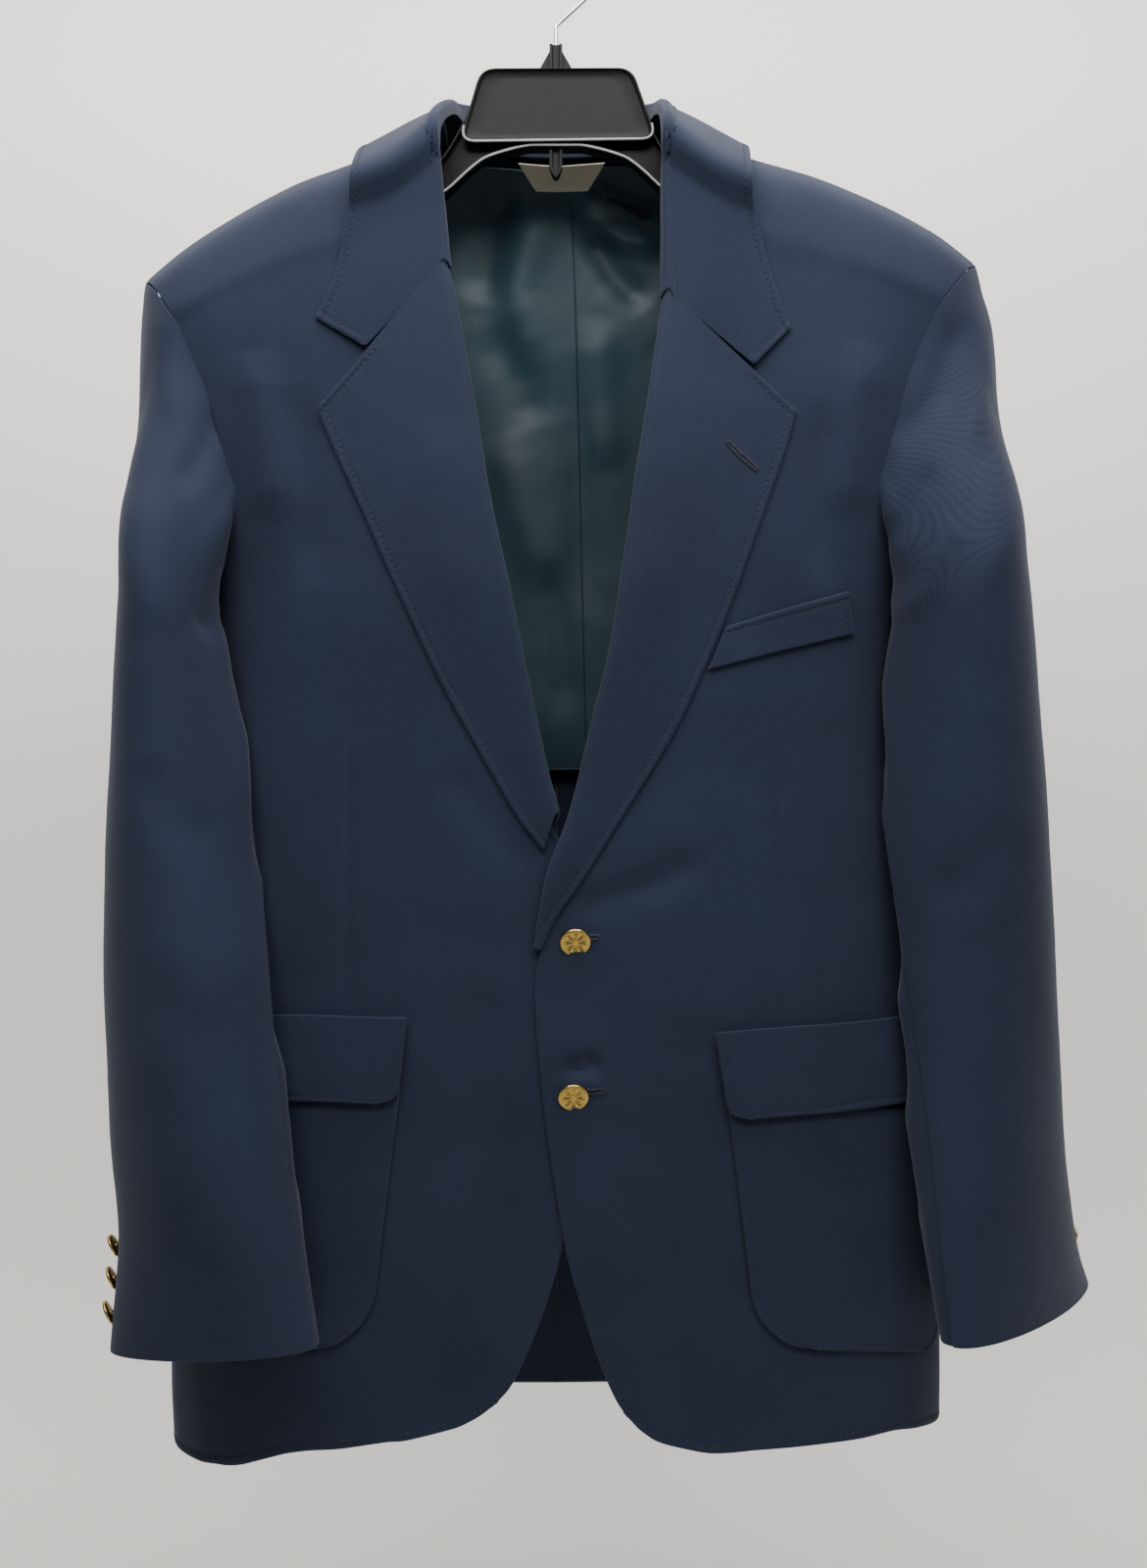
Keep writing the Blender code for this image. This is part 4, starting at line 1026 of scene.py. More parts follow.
def cloth(node, surface, net, flip, borders, look=None, thickness=WALL, step=3.0,
          anchor="u0", uneven=1.0, masks=None):
    """A cloth piece in place of its solid, wool unless a look is given."""
    plain = finer(net_of(surface, *net), step)
    grid = folded(node, plain, flip, thickness, uneven)
    distances = border_distances(plain)
    normal = normals_of(plain, flip)
    for border, stitch_at in borders.items():
        height = edge_profile(distances[border], stitch_at)
        if masks and border in masks:
            height = height * masks[border](distances)
        grid = grid + normal * height[..., None]
    mesh = grid_mesh(node, grid, flip, cloth_uv(plain, anchor))
    made = add_piece(f"{node}_cloth", mesh, look or WOOL, [node])
    shell = made.modifiers.new("wall", "SOLIDIFY")
    shell.thickness = thickness * MM
    shell.offset = -1.0
    DRESSED[node] = (grid, plain, flip)
    return made


def new_look(name, colour, roughness, metallic=0.0):
    made = bpy.data.materials.new(name)
    made.use_nodes = True
    shader = made.node_tree.nodes["Principled BSDF"]
    shader.inputs["Base Color"].default_value = (*colour, 1.0)
    shader.inputs["Roughness"].default_value = roughness
    shader.inputs["Metallic"].default_value = metallic
    return made, made.node_tree, shader


def noise(tree, scale, detail, vector):
    made = tree.nodes.new("ShaderNodeTexNoise")
    made.inputs["Scale"].default_value = scale
    made.inputs["Detail"].default_value = detail
    tree.links.new(vector, made.inputs["Vector"])
    return made.outputs["Fac"]


def weighted(tree, first, weight, second):
    """first times weight, plus second."""
    made = tree.nodes.new("ShaderNodeMath")
    made.operation = "MULTIPLY_ADD"
    tree.links.new(first, made.inputs[0])
    made.inputs[1].default_value = weight
    tree.links.new(second, made.inputs[2])
    return made.outputs[0]


def blend_colour(tree, factor, first, second):
    made = tree.nodes.new("ShaderNodeMix")
    made.data_type = "RGBA"
    tree.links.new(factor, made.inputs["Factor"])
    made.inputs["A"].default_value = (*first, 1.0)
    made.inputs["B"].default_value = (*second, 1.0)
    return made.outputs["Result"]


def add_bump(tree, shader, height, strength, distance):
    bump = tree.nodes.new("ShaderNodeBump")
    bump.inputs["Strength"].default_value = strength
    bump.inputs["Distance"].default_value = distance
    tree.links.new(height, bump.inputs["Height"])
    tree.links.new(bump.outputs["Normal"], shader.inputs["Normal"])


# Wool twill: colours, pitch of the wales in millimetres, bump, and the shares of wales and dyeing
WOOL_DARK, WOOL_LIGHT = (0.0038, 0.0078, 0.0205), (0.0185, 0.0275, 0.06)
WOOL_ROUGHNESS, WOOL_GLOSS = 0.8, 0.24
WALE_PITCH, WALE_SHARE, WALE_DISTORTION, WALE_DETAIL = 1.3, 0.26, 1.8, 60.0
# The wave texture draws one band in this length of its scaled coordinate
WAVE_BAND = math.pi / 5
NAP_SCALE, NAP_DETAIL = 1500.0, 2.0
DYE_SCALE, DYE_DETAIL, DYE_SHARE = 16.0, 5.0, 0.6
SHADE_FROM, SHADE_TO = 0.5, 1.55
WOOL_BUMP, BUMP_DEPTH = 0.36, 0.0003
WOOL_SHEEN, SHEEN_ROUGHNESS, SHEEN_TINT = 0.1, 0.5, (0.72, 0.76, 0.88, 1.0)

# Teal satin: fine warp lines, slow changes of colour and small creases
SATIN_BASE, SATIN_DARK, SATIN_LIGHT = (0.03, 0.085, 0.1), (0.001, 0.008, 0.014), (0.02, 0.056, 0.078)
SATIN_ROUGHNESS, SATIN_GLOSS, SATIN_SHEEN = 0.45, 0.3, 0.08
WARP_SCALE, WARP_DETAIL = (1100.0, 1100.0, 70.0), 2.0
SATIN_TONE_SCALE, SATIN_CREASE_SCALE, SATIN_DETAIL, SATIN_CREASES = 9.0, 38.0, 2.0, 6.0
SATIN_BUMP = 0.3

GRAIN_DETAIL, GRAIN_DEPTH = 4.0, 0.0002
PLASTIC_GLOSS = 0.14


def twill_look(name):
    """Wool twill: diagonal wales, a slight nap and soft uneven dyeing."""
    made, tree, shader = new_look(name, WOOL_DARK, WOOL_ROUGHNESS)
    uv = tree.nodes.new("ShaderNodeUVMap")
    uv.uv_map = "cloth"
    place = tree.nodes.new("ShaderNodeTexCoord").outputs["Object"]
    wales = tree.nodes.new("ShaderNodeTexWave")
    wales.bands_direction = "DIAGONAL"
    wales.inputs["Scale"].default_value = WAVE_BAND / (WALE_PITCH * math.sqrt(2) * MM)
    wales.inputs["Distortion"].default_value = WALE_DISTORTION
    wales.inputs["Detail Scale"].default_value = WALE_DETAIL
    tree.links.new(uv.outputs["UV"], wales.inputs["Vector"])
    nap = noise(tree, NAP_SCALE, NAP_DETAIL, place)
    both = weighted(tree, wales.outputs["Fac"], WALE_SHARE, nap)
    shade = weighted(tree, noise(tree, DYE_SCALE, DYE_DETAIL, place), DYE_SHARE, both)
    ramp = tree.nodes.new("ShaderNodeMapRange")
    ramp.inputs["From Min"].default_value = SHADE_FROM
    ramp.inputs["From Max"].default_value = SHADE_TO
    tree.links.new(shade, ramp.inputs["Value"])
    colour = blend_colour(tree, ramp.outputs["Result"], WOOL_DARK, WOOL_LIGHT)
    tree.links.new(colour, shader.inputs["Base Color"])
    add_bump(tree, shader, both, WOOL_BUMP, BUMP_DEPTH)
    shader.inputs["Sheen Weight"].default_value = WOOL_SHEEN
    shader.inputs["Sheen Roughness"].default_value = SHEEN_ROUGHNESS
    shader.inputs["Sheen Tint"].default_value = SHEEN_TINT
    shader.inputs["Specular IOR Level"].default_value = WOOL_GLOSS
    return made


def satin_look(name):
    """Teal satin: fine warp lines and a soft gloss."""
    made, tree, shader = new_look(name, SATIN_BASE, SATIN_ROUGHNESS)
    place = tree.nodes.new("ShaderNodeTexCoord").outputs["Object"]
    stretch = tree.nodes.new("ShaderNodeMapping")
    stretch.inputs["Scale"].default_value = WARP_SCALE
    tree.links.new(place, stretch.inputs["Vector"])
    threads = noise(tree, 1.0, WARP_DETAIL, stretch.outputs["Vector"])
    tone = noise(tree, SATIN_TONE_SCALE, SATIN_DETAIL, place)
    tree.links.new(blend_colour(tree, tone, SATIN_DARK, SATIN_LIGHT), shader.inputs["Base Color"])
    shader.inputs["Specular IOR Level"].default_value = SATIN_GLOSS
    creases = noise(tree, SATIN_CREASE_SCALE, SATIN_DETAIL, place)
    add_bump(tree, shader, weighted(tree, creases, SATIN_CREASES, threads), SATIN_BUMP, BUMP_DEPTH)
    shader.inputs["Sheen Weight"].default_value = SATIN_SHEEN
    return made


def grain_look(name, first, second, scale, roughness, metallic=0.0, strength=0.2):
    """A hard or woven surface with fine uneven colour and bump."""
    made, tree, shader = new_look(name, first, roughness, metallic)
    place = tree.nodes.new("ShaderNodeTexCoord").outputs["Object"]
    grain = noise(tree, scale, GRAIN_DETAIL, place)
    tree.links.new(blend_colour(tree, grain, first, second), shader.inputs["Base Color"])
    add_bump(tree, shader, grain, strength, GRAIN_DEPTH)
    return made


WOOL, SATIN = twill_look("wool"), satin_look("satin")
# Name, the two colours, scale of the grain, roughness, then metal and bump where they are stated
THREAD = grain_look("thread", (0.008, 0.011, 0.022), (0.022, 0.028, 0.05), 900.0, 0.7)
BRASS = grain_look("brass", (0.36, 0.24, 0.055), (0.52, 0.37, 0.11), 300.0, 0.26, 1.0)
TAPE = grain_look("tape", (0.6, 0.55, 0.42), (0.74, 0.69, 0.56), 1200.0, 0.75, 0.0, 0.5)
PLASTIC = grain_look("plastic", (0.006, 0.006, 0.007), (0.012, 0.012, 0.013), 140.0, 0.42)
# Pale grey plastic for the thin tubes along the hanger's lower rims: a painted highlight
PAINTED_HIGHLIGHT = grain_look("painted_highlight_plastic", (0.25, 0.25, 0.25), (0.42, 0.42, 0.42), 300.0, 0.45)
PLASTIC.node_tree.nodes["Principled BSDF"].inputs["Specular IOR Level"].default_value = PLASTIC_GLOSS
STEEL = grain_look("steel", (0.6, 0.6, 0.62), (0.72, 0.72, 0.74), 400.0, 0.22, 1.0)


SIDES = ((1, "left"), (-1, "right"))
# Columns and rows of the coarse net that each piece is read on
FRONT_NET, BACK_NET, TOP_NET, UNDER_NET = (20, 48), (16, 48), (22, 50), (10, 50)
LAPEL_NET, COLLAR_NET, PATCH_NET, FLAP_NET = (33, 30), (40, 60), (18, 40), (18, 24)
WELT_NET, LINING_NET, LABEL_NET = (10, 5), (16, 40), (6, 3)
# How far the notch lies from the lapel's point, how wide the collar's end is, and the fade of a relief
NOTCH_REACH = {1: 36.0, -1: 42.0}
COLLAR_END_WIDTH = 34.0
RELIEF_FADE = 3.0


def dress_trunk():
    for side, word in SIDES:
        cloth(f"front_{word}", front_surface(side), FRONT_NET, side < 0, edges("u0 v1", "v0 u1"))
        cloth(f"back_{word}", back_surface(side), BACK_NET, side > 0, edges("", "v1 u0 u1 v0"), step=4.8)


def dress_sleeves():
    seams = edges("", "v1 v0 u0 u1")
    for side, word in SIDES:
        cloth(f"sleeve_top_{word}", sleeve_part(side, False), TOP_NET, side > 0, seams, step=3.8)
        cloth(f"sleeve_under_{word}", sleeve_part(side, True), UNDER_NET, side > 0, seams, step=4.8)


def before(border, most):
    """A mask that lets an edge's relief end some way from another border."""
    return lambda distances: np.clip((most - distances[border]) / RELIEF_FADE, 0, 1)


def dress_collar_and_lapels():
    for side, word in SIDES:
        masks = {"v0": before("u1", NOTCH_REACH[side])}
        cloth(f"lapel_{word}", lapel_surface(side), LAPEL_NET, side < 0, edges("u1 v0"),
              step=2.4, anchor="u1", masks=masks, uneven=0.5)
    ends = before("u1", COLLAR_END_WIDTH)
    cloth("collar", collar_surface(), COLLAR_NET, False, edges("u1 v0 v1"),
          step=2.4, anchor="length", masks={"v0": ends, "v1": ends}, uneven=0.5)


def dress_pockets():
    for side, word in SIDES:
        patch = pocket_surface(side, *PATCH[side], PATCH_RISE, PATCH_CORNER, WALL + REST_GAP)
        cloth(f"pocket_{word}", patch, PATCH_NET, side < 0, edges("u0 u1 v1"),
              step=3.0, uneven=0.6)
        flap_out = 2 * (WALL + REST_GAP) + FLAP_LIFT
        flap = pocket_surface(side, *FLAP[side], FLAP_RISE[side], FLAP_CORNER, flap_out)
        cloth(f"flap_{word}", flap, FLAP_NET, side < 0, edges("u0 u1 v1", "v0"),
              step=2.6, uneven=0.6)
    cloth("breast_welt", welt_surface, WELT_NET, False, edges("u1 v0", "u0 v1"),
          step=2.0, uneven=0.4)


def dress_lining():
    cloth("lining_left", lining_surface(1, LINING_INSET), LINING_NET, True, edges("", "v1"),
          SATIN, LINING_WALL, 4.0)
    inner = LINING_INSET + LINING_WALL + REST_GAP
    cloth("lining_right", lining_surface(-1, inner), LINING_NET, False, edges("", "v1 u0"),
          SATIN, LINING_WALL, 4.0)
    cloth("label", label_surface, LABEL_NET, True, {}, TAPE, LABEL_WALL, 2.0)


# Stitches: each is as long as its share of the pitch, tapers to both ends and stands out a little
STITCH_PITCH, STITCH_LENGTH, STITCH_R = 3.8, 2.7, 0.3
STITCH_SIDES = 5
STITCH_START, STITCH_LIFT = 0.15, 0.5
STRAND_SHOULDERS = (0.18, 0.82)


class Strands:
    """Short strands of thread gathered into one mesh."""

    def __init__(self):
        self.points, self.faces = [], []

    def add(self, start, end, normal, radius):
        along_it = end - start
        length = np.linalg.norm(along_it)
        along_it = along_it / max(length, TINY)
        beside = np.cross(along_it, normal)
        beside /= max(np.linalg.norm(beside), TINY)
        up = np.cross(beside, along_it)
        first = len(self.points)
        self.points.append(start)
        for share in STRAND_SHOULDERS:
            for k in range(STITCH_SIDES):
                angle = 2 * math.pi * k / STITCH_SIDES
                ring = beside * math.cos(angle) + up * math.sin(angle)
                self.points.append(start + along_it * length * share + ring * radius)
        self.points.append(end)
        last = len(self.points) - 1
        for k in range(STITCH_SIDES):
            a, b = first + 1 + k, first + 1 + (k + 1) % STITCH_SIDES
            self.faces.append((first, b, a))
            self.faces.append((a, b, b + STITCH_SIDES, a + STITCH_SIDES))
            self.faces.append((last, a + STITCH_SIDES, b + STITCH_SIDES))

    def piece(self, name, look, slot):
        mesh = bpy.data.meshes.new(name)
        mesh.from_pydata([tuple(point * MM) for point in self.points], [], self.faces)
        mesh.shade_smooth()
        return add_piece(name, mesh, look)


def line_beside(node, border, distance, low, high):
    """Points and normals of the line that runs at a distance from a border of a dressed piece."""
    grid, plain, flip = DRESSED[node]
    away = border_distances(plain)[border]
    normal = normals_of(grid, flip)
    if border[0] == "v":
        away, grid, normal = away.T, np.swapaxes(grid, 0, 1), np.swapaxes(normal, 0, 1)
    if border[1] == "1":
        away, grid, normal = away[:, ::-1], grid[:, ::-1], normal[:, ::-1]
    count = len(away)
    points, normals = [], []
    for j in range(int(low * (count - 1)), int(high * (count - 1)) + 1):
        if away[j, -1] <= distance:
            continue
        points.append([np.interp(distance, away[j], grid[j, :, k]) for k in range(3)])
        normals.append([np.interp(distance, away[j], normal[j, :, k]) for k in range(3)])
    return np.array(points), np.array(normals)


def stitch_line(strands, node, border, low=0.0, high=1.0, distance=EDGE_STITCH):
    points, normals = line_beside(node, border, distance, low, high)
    run = np.insert(np.cumsum(np.linalg.norm(np.diff(points, axis=0), axis=1)), 0, 0.0)

    def at(length, rows):
        return np.array([np.interp(length, run, rows[:, k]) for k in range(3)])

    for k in range(int(run[-1] / STITCH_PITCH)):
        start = (k + STITCH_START) * STITCH_PITCH
        middle = at(start + STITCH_LENGTH / 2, normals)
        lift = middle * STITCH_R * STITCH_LIFT
        strands.add(at(start, points) + lift, at(start + STITCH_LENGTH, points) + lift, middle, STITCH_R)


# A place on the cloth is the mean of this many nearest points, weighted by their distance and this much
NEAREST, NEAR_SOFT = 4, 0.05


def on_cloth(node, x, z, least_u=0.0):
    """The point and normal of a dressed piece that are seen at x, z."""
    grid, _, flip = DRESSED[node]
    first = int(least_u * grid.shape[1])
    part, normal = grid[:, first:], normals_of(grid, flip)[:, first:]
    seen_x, seen_z = seen_xz(part)
    away = np.hypot(seen_x - x, seen_z - z).reshape(-1)
    near = np.argsort(away)[:NEAREST]
    weight = 1 / (away[near] + NEAR_SOFT)
    weight /= weight.sum()
    point = (part.reshape(-1, 3)[near] * weight[:, None]).sum(axis=0)
    facing = (normal.reshape(-1, 3)[near] * weight[:, None]).sum(axis=0)
    return point, facing / np.linalg.norm(facing)


# A buttonhole's half width, its bars: number, start, length, radius and how high their two ends lie
HOLE_HALF, HOLE_STITCHES, HOLE_START, HOLE_BAR, HOLE_R = 1.2, 52, 0.15, 2.1, 0.42
HOLE_INNER, HOLE_OUTER = 0.45, 0.2
# Each buttonhole's piece, its two ends as seen, and the share of the piece that it lies beyond
BUTTONHOLES = (
    ("lapel_left", (106.2, -309), (121.8, -324), 0.5),
    ("front_left", (13, -706), (29, -705.5), 0),
    ("front_left", (13, -612.5), (25, -611), 0),
)
LAPEL_TOP_RUN = 130.0
# Where the stitches of each piece start and end, as shares of its border
LAPEL_STITCHES, LAPEL_TOP_STITCH_TO = (0.03, 0.95), 0.96
FRONT_STITCH_FROM, FRONT_STITCH_TO = {1: 0.7, -1: 0.66}, 0.99
PAIR_STITCHES = (
    ("front", "v1", 0.02, 0.97),
    ("flap", "u0", 0.04, 0.93),
    ("flap", "v1", 0.06, 0.94),
    ("flap", "u1", 0.04, 0.93),
    ("pocket", "u0", 0.02, 0.97),
    ("pocket", "v1", 0.05, 0.95),
)
STITCHES = (
    ("collar", "u1", 0.02, 0.98),
    ("collar", "v0", 0.8, 0.97),
    ("collar", "v1", 0.8, 0.97),
    ("breast_welt", "v0", 0.02, 0.95),
    ("breast_welt", "u1", 0.2, 0.95),
)
LABEL_STITCHES = (0.05, 0.95)
# How far in the lining's hem and the label's edges are stitched
LINING_HEM_STITCH, LABEL_STITCH = 12.0, 1.2


def buttonhole(strands, node, start, end, least_u):
    """A worked buttonhole: bars of thread side by side all round a slit."""
    start, end = np.array(start), np.array(end)
    way = (end - start) / np.linalg.norm(end - start)
    beside = np.array([-way[1], way[0]])
    straight = np.linalg.norm(end - start)
    around = 2 * straight + 2 * math.pi * HOLE_HALF
    for k in range(HOLE_STITCHES):
        run = around * k / HOLE_STITCHES
        if run < straight:
            foot, out = start + way * run, beside
        elif run < straight + math.pi * HOLE_HALF:
            swing = (run - straight) / HOLE_HALF
            foot, out = end, beside * math.cos(swing) + way * math.sin(swing)
        elif run < 2 * straight + math.pi * HOLE_HALF:
            foot, out = end - way * (run - straight - math.pi * HOLE_HALF), -beside
        else:
            swing = (run - 2 * straight - math.pi * HOLE_HALF) / HOLE_HALF
            foot, out = start, -beside * math.cos(swing) - way * math.sin(swing)
        inner, facing = on_cloth(node, *(foot + out * HOLE_START), least_u)
        outer, _ = on_cloth(node, *(foot + out * (HOLE_START + HOLE_BAR)), least_u)
        strands.add(inner + facing * HOLE_INNER, outer + facing * HOLE_OUTER, facing, HOLE_R)


def sew():
    strands = Strands()
    for side, word in SIDES:
        stitch_line(strands, f"lapel_{word}", "u1", *LAPEL_STITCHES)
        notch = 1 - NOTCH_REACH[side] / LAPEL_TOP_RUN
        stitch_line(strands, f"lapel_{word}", "v0", notch, LAPEL_TOP_STITCH_TO)
        stitch_line(strands, f"front_{word}", "u0", FRONT_STITCH_FROM[side], FRONT_STITCH_TO)
        for piece, border, low, high in PAIR_STITCHES:
            stitch_line(strands, f"{piece}_{word}", border, low, high)
    for row in STITCHES:
        stitch_line(strands, *row)
    for row in BUTTONHOLES:
        buttonhole(strands, *row)
    strands.piece("topstitching", THREAD, "wool")
    hem = Strands()
    for _, word in SIDES:
        stitch_line(hem, f"lining_{word}", "v1", distance=LINING_HEM_STITCH)
    hem.piece("lining_stitching", SATIN, "lining")
    tacks = Strands()
    for border in ("u0", "u1", "v0"):
        stitch_line(tacks, "label", border, *LABEL_STITCHES, LABEL_STITCH)
    tacks.piece("label_stitching", TAPE, "label")


# Buttons: rings of the face as shares of the radius with their heights, then the back
BUTTON_RINGS = (
    (0, 3.6), (0.08, 3.6), (0.14, 3.55), (0.2, 3.42), (0.28, 3.4), (0.36, 3.36), (0.44, 3.3),
    (0.52, 3.22), (0.6, 3.12), (0.68, 3), (0.74, 2.88), (0.79, 2.78), (0.83, 2.95), (0.88, 3.2),
    (0.92, 3.22), (0.96, 3.02), (1, 2.5), (1, 1.9), (0.95, 1.5), (0.85, 1.25), (0.5, 1.1), (0, 1.1),
)
FACE_RINGS, BUTTON_POINTS = 16, 72
# The rosette and the rope lie between these shares of the radius
ROSETTE, PETALS, PETAL_RISE, PETAL_LEAST = (0.14, 0.76), 8, 0.6, -0.35
ROPE, ROPE_TURNS, ROPE_RISE, ROPE_SLANT = (0.83, 0.97), 36, 0.14, 20
BUTTON_TILT = math.radians(28.0)
BUTTON_TURN = 0.06
# The shank's wire loop: its rings and sides, radius, wire, rise of its middle and how flat it is
SHANK_RINGS, SHANK_SIDES = 16, 8
LOOP_R, LOOP_WIRE, LOOP_RISE, LOOP_FLAT = 2.1, 0.55, 0.4, 0.75
WELD_DISTANCE = 0.001


def button_height(share, height, angle):
    """The plain height of a button's face with a rosette inside and a rope round its rim."""
    low, high = ROSETTE
    if low < share < high:
        window = math.sin(math.pi * (share - low) / (high - low))
        height += PETAL_RISE * window * max(math.cos(PETALS * angle), PETAL_LEAST)
    if ROPE[0] <= share <= ROPE[1]:
        height += ROPE_RISE * math.cos(ROPE_TURNS * angle + share * ROPE_SLANT)
    return height


def mesh_of(name, points, faces):
    """A mesh in metres from points in millimetres."""
    mesh = bpy.data.meshes.new(name)
    mesh.from_pydata([tuple(value * MM for value in point) for point in points], [], faces)
    return mesh


def button_mesh(name, diameter):
    points, faces = [], []
    for n, (share, plain) in enumerate(BUTTON_RINGS):
        for k in range(BUTTON_POINTS):
            angle = 2 * math.pi * k / BUTTON_POINTS
            height = button_height(share, plain, angle) if n < FACE_RINGS else plain
            radius = share * diameter / 2
            points.append((radius * math.cos(angle), radius * math.sin(angle), height))
    count = BUTTON_POINTS
    for n in range(len(BUTTON_RINGS) - 1):
        for k in range(count):
            a, b = n * count + k, n * count + (k + 1) % count
            faces.append((a, a + count, b + count, b))
    add_shank(points, faces)
    mesh = mesh_of(name, points, faces)
    mesh.shade_smooth()
    return mesh


def add_shank(points, faces):
    """A wire loop below the button's back."""
    rings, sides, first = SHANK_RINGS, SHANK_SIDES, len(points)
    for n in range(rings + 1):
        angle = math.pi * (n / rings) + math.pi
        for k in range(sides):
            turn = 2 * math.pi * k / sides
            reach = LOOP_R + LOOP_WIRE * math.cos(turn)
            z = SHANK_TOP + LOOP_RISE + reach * math.sin(angle) * LOOP_FLAT
            points.append((reach * math.cos(angle), LOOP_WIRE * math.sin(turn), z))
    for n in range(rings):
        for k in range(sides):
            a, b = first + n * sides + k, first + n * sides + (k + 1) % sides
            faces.append((a, b, b + sides, a + sides))


def set_button(name, diameter, place, axis):
    made = add_piece(f"{name}_brass", button_mesh(name, diameter), BRASS, [name])
    made.location = place * MM
    made.rotation_mode = "QUATERNION"
    made.rotation_quaternion = axis.to_track_quat("Z", "Y")
    made.modifiers.new("weld", "WELD").merge_threshold = WELD_DISTANCE * MM


def set_buttons():
    for number, (x, z) in enumerate(FRONT_BUTTONS, 1):
        place = front_point(1, x, z, WALL + BUTTON_GAP)
        axis = Vector((BUTTON_TURN, -math.cos(BUTTON_TILT), -math.sin(BUTTON_TILT)))
        set_button(f"button_front_{number}", FRONT_BUTTON_D, place, axis)
    for side, word in SIDES:
        for number, t in enumerate(CUFF_BUTTON_SHARES[side], 1):
            here, out = cuff_place(side, t)
            axis = (out + Vector((0, 0, -math.tan(BUTTON_TILT)))).normalized()
            set_button(f"button_{word}_{number}", CUFF_BUTTON_D, here + out * (WALL + BUTTON_GAP), axis)


# Hanger: the plate's corners as x, z and round, flange and web sizes, the post and the fins
PLATE = ((-45.5, -82.6, 9.0), (46.5, -82.2, 9.0), (61.5, -125.4, 10.0), (-58.5, -127.0, 10.0))
PLATE_MIDDLE = (1.0, -104.0)
PLATE_STEPS = 10
# How far in from the outline each ring of the plate lies, and its depth
PLATE_RINGS = (
    (0, -5.6), (0, -8.9), (0.35, -9.4), (1.1, -9.5), (1.7, -9.1), (2.2, -7.9), (3.2, -7.5), (12, -7.4),
)
# Inside this distance from the middle both arms keep one section
ARM_MIDDLE = 16.0
FLANGE, WEB, FLANGE_ROOT = 2.2, 1.1, 0.6
ARM_STEP = 4.0
POST = ((-118.0, 4.2), (-140.0, 3.9), (-144.5, 2.4), (-146.6, 0.8))
NECK_POST = ((NECK_TOP, 3.9), (-84.0, 3.9))
POST_DEPTH, NECK_DEPTH = 4.6, 3.9
# A post's section as shares of its width and depth, with a groove down its front
GROOVED = ((-1, -1), (-0.55, -1), (-0.45, -0.55), (0.45, -0.55), (0.55, -1), (1, -1), (1, 1), (-1, 1))
FIN, FIN_HALF = ((3.4, -68.0), (12.2, -83.6), (3.4, -83.6)), 0.9
RIB_FROM, RIB_PITCH, RIB_HALF, RIB_SHORT, RIB_LOW = 70.0, 14.0, 0.5, 0.8, 1
ARM_BEVEL, NECK_BEVEL = 0.35, 0.3
# The pale tubes on the rims of the plate's foot and of the arch below the arms, which are painted highlights
RIM_R, PLATE_RIM_Z, PLATE_RIM_Y = 0.75, -112.0, -9.3
ARCH_REACH, ARCH_STEPS, ARCH_RISE = 74.0, 40, 0.6
TUBE_SIDES, BEVEL_SEGMENTS = 5, 2
# The wire's foot below the neck's top, and the steps of its stem, bend and round
WIRE_SINK, STEM_STEPS, BEND_STEPS, HOOK_STEPS = 2.0, 8, 5, 60


def loft(points, faces, sections, close_ends=True):
    """Skin over sections with one count of points each."""
    first, count = len(points), len(sections[0])
    for section in sections:
        points.extend(section)
    for n in range(len(sections) - 1):
        for k in range(count):
            a, b = first + n * count + k, first + n * count + (k + 1) % count
            faces.append((a, b, b + count, a + count))
    if close_ends:
        faces.append(tuple(range(first, first + count))[::-1])
        start = first + (len(sections) - 1) * count
        faces.append(tuple(range(start, start + count)))


def arm_values(x):
    """Top, bottom and half depth of the arm at x."""
    return read(HANGER, max(abs(x), ARM_MIDDLE))


def arm_section(x):
    top, bottom, half = arm_values(x)
    inner_top, inner_bottom = top - FLANGE, bottom + FLANGE
    web = [(WEB, inner_top - FLANGE_ROOT), (WEB, inner_bottom + FLANGE_ROOT)]
    near = [(half, top), (half, inner_top)] + web + [(half, inner_bottom), (half, bottom)]
    far = [(-y, z) for y, z in near[::-1]]
    return [(x, y, z) for y, z in near + far]


def groove_section(z, width, depth):
    return [(width * x, depth * y, z) for x, y in GROOVED]


def plate_outline():
    """The plate's rounded outline as x, z."""
    outline = []
    for n, (x, z, radius) in enumerate(PLATE):
        corner = Vector((x, z))
        to_last = (Vector(PLATE[n - 1][:2]) - corner).normalized()
        to_next = (Vector(PLATE[(n + 1) % len(PLATE)][:2]) - corner).normalized()
        start, end = corner + to_last * radius, corner + to_next * radius
        for k in range(PLATE_STEPS + 1):
            t = k / PLATE_STEPS
            outline.append(start.lerp(corner, t).lerp(corner.lerp(end, t), t))
    return outline


def inset(outline, distance):
    middle = Vector(PLATE_MIDDLE)
    return [point + (middle - point).normalized() * distance for point in outline]


def rib(points, faces, x):
    """A thin stiffening rib between an arm's flanges."""
    top, bottom, half = arm_values(x)
    reach, low, high = half - RIB_SHORT, bottom + RIB_LOW, top - RIB_LOW
    corners = ((-reach, low), (reach, low), (reach, high), (-reach, high))
    loft(points, faces, [[(x + side * RIB_HALF, y, z) for y, z in corners] for side in (1, -1)])


def fin(points, faces, side):
    sections = [[(side * x, y, z) for x, z in FIN] for y in (-FIN_HALF, FIN_HALF)]
    loft(points, faces, sections if side > 0 else sections[::-1])


def tube(name, path, radius, look, nodes=()):
    """A round wire along points, as a curve piece."""
    curve = bpy.data.curves.new(name, "CURVE")
    curve.dimensions = "3D"
    curve.bevel_depth = radius * MM
    curve.bevel_resolution = TUBE_SIDES
    curve.use_fill_caps = True
    spline = curve.splines.new("POLY")
    spline.points.add(len(path) - 1)
    for control, point in zip(spline.points, path):
        control.co = (*(Vector(point) * MM), 1.0)
    return add_piece(name, curve, look, nodes)


